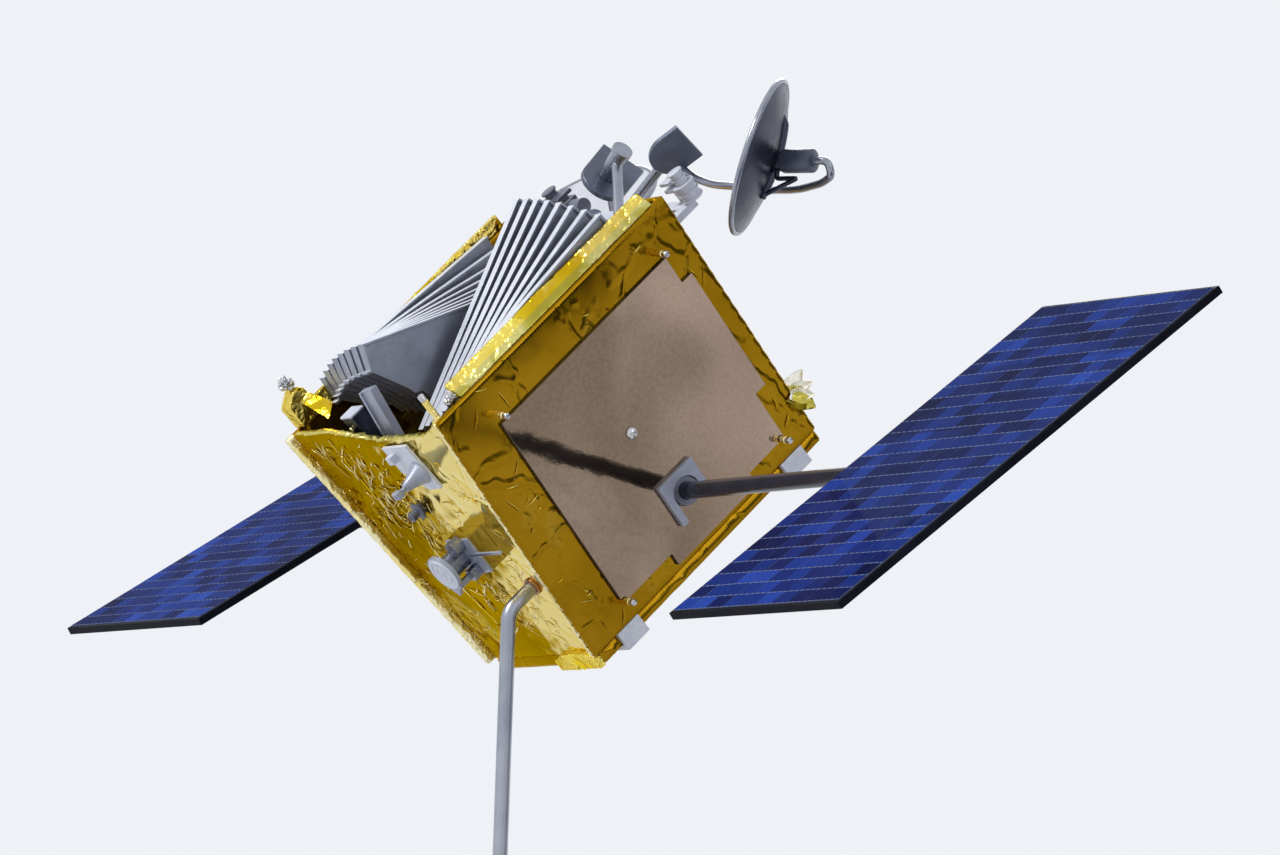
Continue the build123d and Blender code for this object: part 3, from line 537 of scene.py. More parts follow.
def cellRecipe(maker, look):
    # glass-covered cells: each its own blue, with thin dashed pale lines between the rows
    place = maker.node("UVMap", uv_map="UVMap")
    across = maker.node("SeparateXYZ", {0: place})
    along, inCell = across.outlet(1), across.fraction()
    large = place.vector("MULTIPLY", {1: look["blocks"]})
    cell, block = (maker.node("TexWhiteNoise", {"Vector": where.vector("FLOOR")}, noise_dimensions="2D")
                   for where in (place, large))
    tint = maker.node("ValToRGB", {"Fac": cell * 0.72 + block * 0.28}, stops=look["blues"])
    lines = 1.0 - (inCell * look["fingers"]).fraction().within(0.10, 0.22)
    tint = (lines * 0.16).between(tint, look["finger"])
    edgeRow, edgeCell = along.edges(0.030, 0.045), across.edges(0.012, 0.022)
    dash = (inCell * look["dashes"] + 0.5).fraction()
    dashes = dash.within(0.12, 0.16) * (1.0 - dash.within(0.80, 0.84))
    gap = edgeRow.math("MAXIMUM", edgeRow, edgeCell)
    tint = (edgeRow * dashes * 0.55).between(gap.between(tint, look["gap"]), look["dash"])
    smear = objectPlace(maker).noise(26.0, 4.0, 0.6).within(0.45, 0.8)
    return {"Base Color": tint, "Roughness": look["roughness"] + cell * 0.05 + smear * 0.10 + gap * 0.2,
            "Specular IOR Level": 0.0, "Coat Weight": (1.0 - gap) * look["coat"], "Coat Roughness": 0.05,
            "Normal": objectPlace(maker).noise(70.0).bump(0.0006, 0.35)}


makeFinishes(cellRecipe, {"solarCells": cellLook})
print("finishes ready")


def meshArray(items, name):
    # one vector for each item of a mesh
    values = np.empty(len(items) * 3, np.float32)
    items.foreach_get(name, values)
    return values.reshape(-1, 3)


def mergedCopy(node, flat=None):
    # the CAD node's loose triangles joined, and merged into faces where they meet within flat degrees
    mesh = frame["nodes"][node].data.copy()
    mesh.name = node + "Skin"
    work = bmesh.new()
    work.from_mesh(mesh)
    bmesh.ops.remove_doubles(work, verts=work.verts, dist=joined["cad"])
    if flat:
        bmesh.ops.dissolve_limit(work, angle_limit=math.radians(flat), verts=work.verts, edges=work.edges)
    work.to_mesh(mesh)
    work.free()
    return mesh


def dressed(node, mesh, materials, choose=None):
    # a smooth skin in the CAD node's place; choose gives each face its material from its middle and normal
    source = frame["nodes"][node]
    setMaterials(mesh, materials)
    mesh.polygons.foreach_set("use_smooth", np.ones(len(mesh.polygons), bool))
    if choose:
        middle = meshArray(mesh.polygons, "center")
        level = levelled(middle)
        normal = unit(levelled(middle + meshArray(mesh.polygons, "normal") * 0.001) - level)
        mesh.polygons.foreach_set("material_index", np.asarray(choose(level, normal), np.int32))
    thing = linked(node + "Skin", mesh)
    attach(thing, source["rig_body"])
    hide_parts(node)
    return thing


# Degrees within which flat faces are one, and past which an edge shows.
easing = {"flat": 1.0, "sharp": 32.0, "segments": 2}


def refined(node, materials, bevel, choose=None):
    # the CAD node with its edges eased and its curves smooth
    sharp = math.radians(easing["sharp"])
    mesh = mergedCopy(node, easing["flat"])
    thing = dressed(node, mesh, materials, choose)
    mesh.set_sharp_from_angle(angle=sharp)
    if bevel:
        ease = thing.modifiers.new("easedEdges", "BEVEL")
        ease.width = bevel / 1000.0
        ease.segments = easing["segments"]
        ease.limit_method = "ANGLE"
        ease.angle_limit = sharp
        ease.harden_normals = True
        ease.use_clamp_overlap = True


def shadedRadiatorWalls(middle, normal):
    # painted shade: the thin walls round the film are dark
    return (np.abs(normal[:, 0]) < 0.7) | (normal[:, 0] * middle[:, 0] < 0)


def bladeFaces(middle, normal):
    # painted light: the flanges take a lighter print, a painted highlight, the sides and end columns the blade
    # grey, and a dark gold film along the undercut is painted shade; it starts lower on the outer blades
    side, column = np.abs(normal[:, 0]) > 0.7, np.abs(normal[:, 1]) > 0.8
    under = (normal[:, 2] < 0.3) & (middle[:, 2] < 7 - 0.075 * np.abs(middle[:, 0]))
    return np.where(side, 1, np.where(under, 2, np.where(column, 1, 0)))


def thrusterFaces(middle, normal):
    # the barrel, knuckle and bars are dark metal between the pale frame and the pale disc
    return (middle[:, 1] < -9.3) & (middle[:, 1] > -17.9)


def beamFaces(middle, normal):
    # the roller and its flange on the far half are grey
    return (middle[:, 0] < -24) & (middle[:, 0] > -36) & (middle[:, 2] > -14.2)


# By the start of a node's name: its finishes, the width of its eased edges, the chooser between its finishes.
cadFinishes = {
    "radiator": ("bronzeMirrorFilm boomPaint", 0.2, shadedRadiatorWalls), "boom_bushing": ("greyPrint", 0.3),
    "boom_plate": ("palePrint", 0.25), "wing_boom": ("boomPaint", 0.3), "wing_panel": ("wingBoard", 0.25),
    "blade": ("flangePrint bladePrint darkGoldFilm", 0.12, bladeFaces),
    "antenna_beam": ("whitePrint greyPrint", 0.25, beamFaces), "arm_hold_near": ("whitePrint", 0.25),
    "arm_hold_far": ("greyPrint", 0.25), "gimbal_mount": ("armPaint", 0.25),
    "thruster": ("palePrint barrelPaint", 0.25, thrusterFaces), "thruster_bracket": ("oliveFilm", 0.3),
    "tracker_plate": ("whitePrint", 0.15), "cavity_stay": ("palePrint", 0.25),
    "cavity_latch": ("dishPaint", 0.25), "zenith_bracket": ("whitePrint", 0.3),
    "stand_base": ("basePaint", 0.4),
    "stand_rod": ("rodSteel", 0.0), "rod_socket": ("copperRing", 0.1)}
for node in sorted(frame["nodes"]):
    found = [key for key in cadFinishes if node.startswith(key)]
    if found:  # the other nodes are made anew below
        refined(node, *cadFinishes[max(found, key=len)])
print("pieces refined")


def topEdge(middle, normal):
    return normal[:, 2] > 0.55


def frontEdgeHighlight(middle, normal):
    # painted highlight: the side panels' front edges and the lips inside them, past the front plate, take the
    # bright film
    return (normal[:, 1] < -0.6) | ((middle[:, 1] < 0.3) & (middle[:, 0] * normal[:, 0] < 0))


def railLip(middle, normal):
    return np.abs(middle[:, 0]) > 62.4


# Crumpled foil over the CAD plates: voxel is the size of the small faces, lift the height of the waves, folds
# and ridges, and share the threshold that keeps a ridge.
sideSkin = ("amberFilm tornGoldFilm", 1.0, (0.05, 0.022, 0.13), 0.4, frontEdgeHighlight)
railSkin = ("brightGoldFilm limeGoldFilm", 0.55, (0.15, 0.45, 0.25), 0.2, railLip)
foilSkins = table("finish voxel lift share choose", {
    "front_panel": ("paleGoldFilm limeGoldFilm", 0.95, (0.12, 0.34, 0.45), 0.22, topEdge),
    "side_panel_near": sideSkin, "side_panel_far": sideSkin,
    "back_panel": ("amberFilm", 1.0, (0.2, 0.25, 0.36), 0.4),
    "zenith_panel": ("amberFilm", 1.1, (0.2, 0.25, 0.36), 0.4),
    "earth_deck": ("darkGoldFilm", 1.1, (1.6, 1.9, 0.3), 0.4),
    "edge_rail_near": railSkin, "edge_rail_far": railSkin,
    "corner_wrap": ("brightGoldFilm", 0.5, (0.2, 0.5, 0.3), 0.2),
    "corner_block": ("brightGoldFilm", 0.5, (0.35, 0.25, 0.2), 0.3)})

# Millimetres of the shortest and longest waves that lay out the crumples, and the spacing and width of the
# ridges; a patch fades in between the two heights of its wave.
crumple = {"patch": (30.0, 80.0), "wave": (24.0, 70.0), "fold": (7.0, 26.0), "crease": (4.0, 10.0),
           "patchEdge": (-0.05, 0.25), "ridge": (34.0, 1.5)}


def crumpled(node, look, seed):
    # the plate as an even skin of small faces, moved along its normals by wave + fold * patch + ridge
    mesh = mergedCopy(node)
    rough = linked("rough", mesh)
    grid = rough.modifiers.new("grid", "REMESH")
    grid.mode = "VOXEL"
    grid.voxel_size = look["voxel"] / 1000.0
    skin = bpy.data.meshes.new_from_object(rough.evaluated_get(bpy.context.evaluated_depsgraph_get()))
    bpy.data.objects.remove(rough)
    bpy.data.meshes.remove(mesh)
    skin.name = node + "Skin"
    flat = meshArray(skin.vertices, "co")
    place = levelled(flat)
    wave, fold, ridge = look["lift"]
    low, high = crumple["patchEdge"]
    patch = np.clip((waveField(place, 5, seed, *crumple["patch"]) - low) / (high - low), 0, 1)
    patch = patch * patch * (3 - 2 * patch)
    folds = foldField(place, 9, seed + 300, *crumple["fold"])
    folds += 0.5 * foldField(place, 9, seed + 400, *crumple["crease"])
    lift = wave * waveField(place, 7, seed + 200, *crumple["wave"]) + fold * patch * folds
    lift += ridge * ridgeField(place, 9, seed + 500, *crumple["ridge"], look["share"])
    moved = flat + meshArray(skin.vertex_normals, "vector") * (lift / 1000.0)[:, None]
    skin.vertices.foreach_set("co", moved.astype(np.float32).ravel())
    dressed(node, skin, look["finish"], look.get("choose"))
    skin.update()


for number, (node, look) in enumerate(foilSkins.items()):
    crumpled(node, look, 11 + number)
print("foil crumpled")

# Curls raised along the folds, their bright film painted glints. A band is the start, run and spread along x
# and z.
# A strip is its likelihood and its ends along the bus and down the slope.
glintCurls = {"length": (2.0, 11.0), "width": (0.2, 0.55), "rise": (0.3, 0.9), "steps": 7, "lift": 0.15,
         "curl": 0.35, "sway": 0.22, "spread": 0.22, "thickness": 0.12}
frontGlintCurls = {"finish": "tornGoldFilm", "count": 300, "turns": [-0.9, -1.25, -0.55, 0.7, 1.5],
              "band": [(-38, 52, 9), (-12, -92, 8)], "scattered": 0.35, "x": (-50, 40), "z": (-110, -12),
              "halfWidth": 60, "narrower": 18, "low": -115, "high": -9}
sideGlintCurls = {"finish": "brightGoldFilm", "count": 22, "turns": [0.1, 0.8, 1.5, 2.4],
             "strips": [(0.45, (0, 18), (0, 118)), (0.3, (0, 134), (1, 18)),
                        (0.15, (123, 134), (0, 118)), (0.1, (0, 134), (116, 121))]}


def makeGlintCurls(name, middle, seed, axes, look):
    # thin strips, wide in the middle and pointed at the ends, that arch off the foil, bright as painted
    # glints:
    # along = s length, across = w sin(pi s), lift = rise sin(pi s)
    chance = np.random.default_rng(seed)
    count, steps = len(middle), glintCurls["steps"]
    sizes = (glintCurls[key] for key in ("length", "width", "rise"))
    length, width, rise = (chance.uniform(*size, count)[:, None, None] for size in sizes)
    turn = (chance.choice(look["turns"], count) + chance.normal(0, glintCurls["spread"], count))[:, None, None]
    s = np.linspace(0, 1, steps)[None, :, None]
    v = np.array([-1.0, 1.0])
    arch = np.sin(math.pi * s)
    along = (s - 0.5) * length + 0 * v
    across = arch * width * v / 2 + glintCurls["sway"] * np.sin(s * 5 + turn)
    lift = glintCurls["lift"] + arch * rise + glintCurls["curl"] * v * arch * width
    a, b = along * np.cos(turn) - across * np.sin(turn), along * np.sin(turn) + across * np.cos(turn)
    first, second, out = axes
    top = middle[:, None, None] + a[..., None] * first + b[..., None] * second + lift[..., None] * out
    points = np.concatenate([top, (top - glintCurls["thickness"] * out)[:, :, ::-1]], axis=2)
    faces = ringFaces(steps, 4)[None] + (np.arange(count) * steps * 4)[:, None, None]
    skin = Skin().add((points.reshape(-1, 3), faces.reshape(-1, 4)))
    skin.build(name, look["finish"], "root", slot="foil", sharp=180.0)


def frontSpots(look, seed):
    # most lie in a band of folds from the top left to the bottom right, the rest are scattered
    chance = np.random.default_rng(seed)
    count = look["count"]
    share = chance.uniform(0, 1, count)
    x, z = (start + run * share + chance.normal(0, spread, count) for start, run, spread in look["band"])
    scattered = chance.uniform(0, 1, count) < look["scattered"]
    x = np.where(scattered, chance.uniform(*look["x"], count), x)
    z = np.where(scattered, chance.uniform(*look["z"], count), z)
    limit = look["halfWidth"] + look["narrower"] * z / bus["depth"]
    return np.stack([np.clip(x, -limit, limit), 0 * x, np.clip(z, look["low"], look["high"])], axis=-1)


def sideSpots(look, seed):
    # on the strips round the radiator: front, top, back and zenith
    chance = np.random.default_rng(seed)
    count = look["count"]
    likely, *ends = zip(*look["strips"])
    strip = chance.choice(len(likely), count, p=likely)
    share = chance.uniform(0.03, 0.97, count)
    across = chance.uniform(0.15, 0.85, count)
    y, s = np.array(ends, float)  # start and end of each strip, both ways
    longer = y[:, 1] - y[:, 0] > s[:, 1] - s[:, 0]
    y, s = (np.choose(strip, [a + (b - a) * (share if way else across) for (a, b), way in zip(run, ways)])
            for run, ways in ((y, longer), (s, ~longer)))
    return onSlope(y, s, 0)


slopeDown, slopeOut = (unit(onSlope(0, *step) - onSlope(0, 0, 0)) for step in ((10, 0), (0, 10)))
makeGlintCurls("frontGlintCurls", frontSpots(frontGlintCurls, 5), 71, (xWay, zWay, -yWay), frontGlintCurls)
makeGlintCurls("sideGlintCurls", sideSpots(sideGlintCurls, 6), 72, (yWay, slopeDown, slopeOut), sideGlintCurls)

pins = {"radius": 1.4, "length": 8.5, "tip": 3.2, "front": 21.0, "back": 17.0, "top": 16.0, "bottom": 9.1,
        "sides": 20, "dome": (65.0, 64.0, 1.6), "domeRadius": 2.7, "domeHeight": 2.0,
        "edge": (60.0, 1.5, 0.0), "edgeLength": 11.5}


def addPin(skin, spot, up, length):
    # a shank, and its polished tip with eased ends
    body, r = length - pins["tip"], pins["radius"]
    shank = [(0, 0), (r, 0), (r, body - 0.3), (r - 0.3, body), (0, body)]
    tip = [(0, body - 0.1), (r - 0.3, body - 0.1), (r - 0.3, body + 0.2), (r, body + 0.5), (r, length - 0.5),
           (r * 0.8, length - 0.12), (r * 0.45, length), (0, length)]
    skin.add(lathe(spot, up, shank, pins["sides"]), 1).add(lathe(spot, up, tip, pins["sides"]), 0)


def makePins(side):
    # four pins at the radiator's corners, a dome in its middle and, on the near side, a pin on the edge rail
    skin = Skin()
    sideLength = bus["depth"] / math.cos(slope)
    for y in (pins["front"], bus["length"] - pins["back"]):
        for s in (pins["top"], sideLength - pins["bottom"]):
            addPin(skin, onSlope(y, s, 0), slopeOut, pins["length"])
    t = np.linspace(0, math.pi / 2, 9)
    dome = np.stack([pins["domeRadius"] * np.cos(t), pins["domeHeight"] * np.sin(t)], axis=-1)
    skin.add(lathe(onSlope(*pins["dome"]), slopeOut, [(0, -0.2), *dome], 32))
    if side == "near":
        addPin(skin, pins["edge"], zWay, pins["edgeLength"])
    else:
        skin.moved(mirrored)
    skin.build("pins" + side.capitalize(), "pinSteel tornGoldFilm", "root", replaces=["side_pins_" + side],
               slot="steel")


for side in ("near", "far"):
    makePins(side)

# Gateway antennas: dishes, arms and their shield plates.
gateway = {"centre": (31.5, 165.9, -8.0), "axis": (-0.761, 0.487, 0.428), "swing": -51.0,
           "root": {"near": (0.0, 0.0), "far": (6.5, 14.8)}, "vertex": (84.8, -7.5, 1.3),
           "back": (0.609, 0.325, -0.723), "hubDir": (0.882, 0.322, -0.341), "up": (0.20, 0.83, 0.53)}
dish = {"radius": 32.5, "depth": 7.0, "wall": 1.4, "rim": 1.15, "segments": 112, "bossRadius": 4.0,
        "bossLength": 5.0, "ribUp": 19.0, "ribDown": 15.5, "ribHeight": 1.8, "ribWidth": 2.4, "ribRun": 3.0,
        "braceSize": 1.8, "braceReach": 7.0, "braceGap": 1.2, "footRadius": 1.7}
arm = {"hubRadius": 4.8, "hubLength": 13.5, "hubGap": 0.3, "hubLead": 6.5, "radius": 1.6, "pinRadius": 1.5,
       "pinLength": 5.0, "points": [
           (-0.2, 0.8, -0.8), (5.5, -0.4, -5.5), (15.5, -0.9, -9.5), (28.5, 0.1, -12.5), (46.0, 0.9, -16.9),
           (76.8, -2.2, -17.1), (98.5, -2.9, -15.1), (107.0, -1.9, -13.0)]}
shield = {"half": 10.0, "straight": {"near": 8.5, "far": 21.5}, "turn": {"near": -52.7, "far": -96.4},
          "round": {"near": (5.3, 6.3), "far": (-1.1, -3.4)}, "thickness": 2.4}
centre, headAxis = np.array(gateway["centre"]), unit(gateway["axis"])
headX = unit(np.cross([0.0, pitchSin, pitchCos], headAxis))
headY = np.cross(headAxis, headX)
hubDir, dishBack = unit(gateway["hubDir"]), unit(gateway["back"])


def onHead(x, y):
    # a point of the turning head's plane
    return centre + headX * x + headY * y


def dishVertex(side):
    return onHead(*gateway["root"][side]) + np.array(gateway["vertex"])


def farSide(points):
    # the near antenna's mirror image, swung about its own turning axis
    axis, pivot, turn = mirrored(headAxis), mirrored(centre), math.radians(gateway["swing"])
    v = mirrored(points) - pivot
    c, s = math.cos(turn), math.sin(turn)
    return pivot + v * c + np.cross(axis, v) * s + (v @ axis)[:, None] * axis * (1 - c)


def dishHeight(r):
    # the front surface over the dish's middle: depth (r / radius)^2
    return dish["depth"] * (np.asarray(r, float) / dish["radius"]) ** 2


def makeDish(side):
    # the shell turned from its back, rolled rim and front; its boss, its rib and the brace from boss to rib
    skin = Skin()
    vertex = dishVertex(side)
    rim, wall, boss = dish["rim"], dish["wall"], dish["bossRadius"]
    edge = dish["radius"] - rim
    r = np.linspace(0, edge - rim * 0.7, 26)
    t = np.linspace(-2.4, 1.9, 13)
    backSide = np.stack([r, dishHeight(r) - wall], axis=-1)
    roll = np.stack([edge + rim * np.cos(t), dishHeight(edge) - wall / 2 + rim * np.sin(t)], axis=-1)
    frontSide = np.stack([r[::-1], dishHeight(r[::-1])], axis=-1)
    points, faces = lathe(vertex, -dishBack, np.concatenate([backSide, roll, frontSide]), dish["segments"])
    row = np.arange(len(faces)) // dish["segments"]
    rimStart, rimEnd = len(r) + 1, len(r) + len(t)
    # painted shade: the back takes the dark dish paint; painted highlight: the rolled rim takes the lighter
    # arm paint
    skin.add((points, faces[row < rimStart]), 0)
    skin.add((points, faces[(row >= rimStart) & (row < rimEnd)]), 2)
    skin.add((points, faces[row >= rimEnd]), 1)
    foot = [(0, -0.6), (5.2, -0.6), (5.0, 0.4), (boss, 1.1)]
    skin.add(lathe(vertex, hubDir, foot + eased(boss, 1.2, dish["bossLength"], 0.35)[2:], 40))

    up = np.array(gateway["up"])
    up = unit(up - dishBack * (up @ dishBack))
    s = np.linspace(-dish["ribDown"], dish["ribUp"], 30)
    ends = np.minimum(s + dish["ribDown"], dish["ribUp"] - s) / dish["ribRun"]
    top = dishBack * (dish["ribHeight"] * np.clip(ends, 0.12, 1))[:, None]
    half = np.cross(up, -dishBack) * dish["ribWidth"] / 2
    spine = vertex + s[:, None] * up - dishBack * (dishHeight(s) - wall)[:, None]
    sunk, crest = spine - dishBack * 0.5, half * 0.55
    skin.add(capped(np.stack([sunk - half, spine - crest + top, spine + crest + top, sunk + half], axis=1)))

    reach = arm["hubRadius"] + dish["braceGap"] + dish["braceSize"] / 2
    reach = unit(-up + hubDir * (up @ hubDir)) * reach
    root = vertex + hubDir * dish["bossLength"] / 2
    corner = vertex + hubDir * (dish["bossLength"] + dish["braceReach"]) + reach
    pad = vertex - up * (dish["ribDown"] - dish["braceSize"])
    pad += dishBack * (wall + dish["ribHeight"] / 2 - dishHeight(dish["ribDown"]))
    skin.add(tube(bentPath([root, root + reach, corner, pad], 0.16, 8), dish["braceSize"] * 0.55, 10))
    skin.add(lathe(pad - dishBack * 0.9, dishBack, eased(dish["footRadius"], 0, 2.0, 0.4), 24))
    if side == "far":
        skin.moved(farSide)
    skin.build("dish" + side.capitalize(), "dishPaint dishWhite armPaint", "dish_" + side,
               replaces=["dish_" + side], slot="printed_grey")


def shieldOutline(side):
    # straight sides and a round end, counterclockwise
    half, straight = shield["half"], shield["straight"][side]
    t = np.linspace(-math.pi / 2, math.pi / 2, 41)
    inward, across = np.linspace(0, -straight, 9)[1:], np.linspace(half, -half, 9)[1:-1]
    x = np.concatenate([half * np.cos(t), inward, np.full(7, -straight), np.linspace(-straight, 0, 9)[:-1]])
    y = np.concatenate([half * np.sin(t), np.full(8, half), across, np.full(8, -half)])
    return np.stack([x, y], axis=-1)


def makeArm(side):
    # a swan neck from the turning head to the dish's hub drum, the shield plate and the head's pin
    skin = Skin()
    start = dishVertex(side) + hubDir * (dish["bossLength"] + arm["hubGap"])
    end = start + hubDir * arm["hubLength"]
    corners = [onHead(*gateway["root"][side]) + np.array(point) for point in arm["points"]]
    neck = bentPath(corners + [end + hubDir * arm["hubLead"], end - hubDir * arm["radius"]])
    skin.add(tube(neck, arm["radius"], 24), 0)
    skin.add(lathe(start, hubDir, eased(arm["hubRadius"], 0, arm["hubLength"], 0.55), 56), 1)
    skin.add(lathe(end - hubDir * 0.3, hubDir, eased(2.3, 0, 1.1, 0.3), 28), 1)
    turn = math.radians(shield["turn"][side])
    first = headX * math.cos(turn) + headY * math.sin(turn)
    axes = (first, np.cross(headAxis, first))
    skin.add(plate(onHead(*shield["round"][side]), axes, shieldOutline(side), shield["thickness"], 0.35), 1)
    pin = eased(arm["pinRadius"], -0.4, arm["pinLength"], 0.2)
    skin.add(lathe(centre + headAxis * shield["thickness"], headAxis, pin, 20), 0)
    if side == "far":
        skin.moved(farSide)
    skin.build("arm" + side.capitalize(), "armPaint shieldPaint", "arm_" + side,
               replaces=["gimbal_arm_" + side], slot="printed_grey")


for side in ("near", "far"):
    makeDish(side)
    makeArm(side)
print("antennas turned")

# Fittings on the front plate; each place is x, z and its start in front of the plate.
horn = {"place": (22.6, -23.0, 2.3), "radius": 5.4, "throat": 2.2, "length": 9.0, "flare": 1.35,
        "stemRadius": 1.1, "stemLength": 6.5, "stemEnd": (3.0, 4.4, 3.4), "collar": (1.85, 1.3)}
valve = {"place": (-4.5, -42.3, 0.0), "radius": 2.1, "length": 6.6, "flangeRadius": 3.8, "spikes": 6}
disc = {"place": (17.2, -61.2, 18.4), "radius": 7.7, "height": 1.62, "ring": 0.28}
outward = -yWay


def onFront(place, lift=0.0):
    x, z, start = place
    return np.array([x, -start - lift, z])


def makeHorn():
    # a bell: radius = throat + (mouth - throat) (1 - h)^flare, with a collar, a stem and its end block
    h = np.linspace(0, 1, 18)
    r = horn["throat"] + (horn["radius"] - horn["throat"]) * (1 - h) ** horn["flare"]
    height, stem = h * horn["length"], horn["stemLength"]
    bell = [(0, 0), (r[0] - 0.3, 0), (r[0], 0.3), *zip(r[1:], height[1:]), (0, horn["length"])]
    skin = Skin().add(lathe(onFront(horn["place"]), outward, bell))
    collar, collarLength = horn["collar"]
    for back, profile in ((1.5, eased(horn["stemRadius"], 0, stem + 1.5, 0.15)),
                          (0.5, eased(collar, 0, collarLength, 0.2))):
        skin.add(lathe(onFront(horn["place"], horn["length"] - back), outward, profile, 24))
    skin.add(block(onFront(horn["place"], horn["length"] + stem), (zWay, xWay), horn["stemEnd"], 0.35))
    skin.build("horn", "palePrint", "root", replaces=["tracker_horn"], slot="printed_grey")


def makeValve():
    # a turned body with a wide flange, short spikes round it and an end disc
    r, length, flange = valve["radius"], valve["length"], valve["flangeRadius"]
    profile = [(0, 0), (r + 0.5, 0), (r + 0.5, 1.0), (r, 1.2), (flange - 0.3, 1.6), (flange, 1.9),
               (flange, 2.4), (flange - 0.3, 2.7), (r, 2.9), (r * 0.8, 3.3), (r * 0.8, 4.4), (r, 4.6),
               (r, length - 0.3), (r - 0.3, length), (r * 0.5, length), (r * 0.45, length - 0.35),
               (0, length - 0.35)]
    spike = [(0, 0), (0.42, 0), (0.36, 0.8), (0.12, 1.5), (0, 1.5)]
    skin = Skin().add(lathe(onFront(valve["place"]), outward, profile, 40))
    for turn in np.arange(valve["spikes"]) * 2 * math.pi / valve["spikes"] + 0.3:
        out = np.array([math.cos(turn), 0.0, math.sin(turn)])
        spot = onFront(valve["place"], 2.1) + out * flange * 0.9
        skin.add(lathe(spot, out + outward * 0.25, spike, 10))
    skin.build("valve", "greyPrint", "root", replaces=["front_valve"], slot="printed_grey")


def makeDiscRings():
    # two raised rings and a recessed middle on the thruster's end disc
    r = np.linspace(0, 1, 61)
    wave = disc["height"] + disc["ring"] * (np.cos(r * 2 * math.pi * 3.0) < 0.2) * (r < 0.84)
    profile = [(0, 0.0), *zip(r * disc["radius"], wave), (disc["radius"], 0.0)]
    skin = Skin().add(lathe(onFront(disc["place"]), outward, profile, 64))
    skin.build("discRings", "whitePrint", "root", slot="printed_white")


# Arm holds: radius, start and height of the thin flanges round the two stacked drums.
holds = {"place": (52.0, 152.5, -14.5), "finish": {"near": "whitePrint", "far": "greyPrint"},
         "rings": [(4.75, 0.4, 0.9), (4.75, 3.4, 0.8), (4.85, 7.0, 1.1), (3.4, 10.4, 0.7), (3.5, 13.2, 0.9)]}


def makeHoldRings(side):
    skin = Skin()
    for radius, start, height in holds["rings"]:
        skin.add(lathe(holds["place"], zWay, eased(radius, start, start + height, 0.25), 40))
    if side == "far":
        skin.moved(mirrored)
    skin.build("holdRings" + side.capitalize(), holds["finish"][side], "root", slot="printed_white")


hems = {"radius": 0.34, "lift": 0.15, "waver": 0.12, "runs": [  # x and z of both ends
    ((-35.5, -4.0), (-33.5, -52.0)), ((-22.8, -84.2), (-17.0, -103.4)), ((-8.0, -30.0), (-30.0, -84.0))]}


def makeHems():
    # narrow folded hems that stand off the front plate's foil
    skin = Skin()
    t = np.linspace(0, 1, 40)
    for (x0, z0), (x1, z1) in hems["runs"]:
        middle = np.stack([x0 + (x1 - x0) * t, 0 * t - hems["lift"], z0 + (z1 - z0) * t], axis=-1)
        middle += hems["waver"] * waveField(middle, 5, 33, 4.0, 12.0)[:, None]
        skin.add(tube(middle, hems["radius"], 6))
    skin.build("foilHems", "brightGoldFilm", "root", slot="foil", sharp=20.0)


makeHorn()
makeValve()
makeDiscRings()
makeHoldRings("near")
makeHoldRings("far")
makeHems()

# Torn leaves at the back end: start in the tuft, direction, facing, length, width, bend, number of the finish.
tuft = {"place": (51.0, 135.5, -105.5), "thickness": 0.22, "sheets": [
    ((-3.5, -1.5, 5.0), (0.20, 0.35, -1.0), (1.0, -0.30, 0.2), 14.0, 9.0, 0.16, 0),
    ((-5.0, -1.5, 4.0), (-0.10, 0.05, -1.0), (1.0, -0.60, 0.3), 13.0, 9.0, -0.14, 0),
    ((-1.0, -1.5, 2.0), (0.30, 0.60, -1.0), (0.7, -0.10, 0.5), 8.0, 5.0, 0.20, 0),
    ((-5.0, -1.5, 3.5), (0.10, 1.00, 0.20), (0.9, -0.35, 0.5), 12.0, 6.6, 0.20, 1),
    ((-4.0, -1.5, 3.0), (0.60, 1.00, -0.20), (0.8, -0.60, 0.2), 11.5, 6.6, -0.18, 1),
    ((-5.5, -1.5, 3.0), (-0.40, 1.00, 0.50), (1.0, 0.10, 0.4), 8.0, 5.0, 0.25, 1),
    ((-3.0, -1.5, 2.5), (0.50, 0.80, -0.70), (0.7, -0.50, 0.6), 10.0, 6.0, 0.20, 1)]}


def looseSheet(start, along, facing, length, width, bend, seed):
    # a torn leaf with a pointed end: along = length * s, half width = width / 2 * sin(pi (0.16 + 0.84 s))^0.9,
    # lifted by bend * length * s^2, by a trough of 0.3 * half * v^2 and by folds
    s, v = np.meshgrid(np.linspace(0, 1, 26), np.linspace(-1, 1, 11), indexing="ij")
    along = unit(along)
    side = unit(np.cross(facing, along))
    out = np.cross(along, side)
    half = width / 2 * np.sin(math.pi * (0.16 + 0.84 * s)) ** 0.9
    flat = np.stack([s * length, v * half, 0 * s], axis=-1)
    folds = foldField(flat.reshape(-1, 3), 7, seed, 2.2, 7.0).reshape(s.shape)
    lift = bend * length * s ** 2 + 0.3 * half * v ** 2 + 0.9 * folds * (0.3 + 0.7 * s)
    flat[..., 2] = lift
    return thickSheet(start + flat @ np.stack([along, side, out]), -out * tuft["thickness"])


leaves = Skin()
for number, (offset, *form, kind) in enumerate(tuft["sheets"]):
    leaves.add(looseSheet(np.array(tuft["place"]) + offset, *form, 3 + number), kind)
leaves.build("looseTuft", "limeGoldFilm whiteGoldFilm", "root", slot="foil", sharp=30.0)

gusset = {"corners": [(-57.0, 10.0, 8.5), (-45.5, 10.0, -1.0), (-45.5, 16.0, 3.0), (-57.0, 15.0, 10.5)],
          "size": (16, 8), "fold": 0.8, "thickness": 0.4}


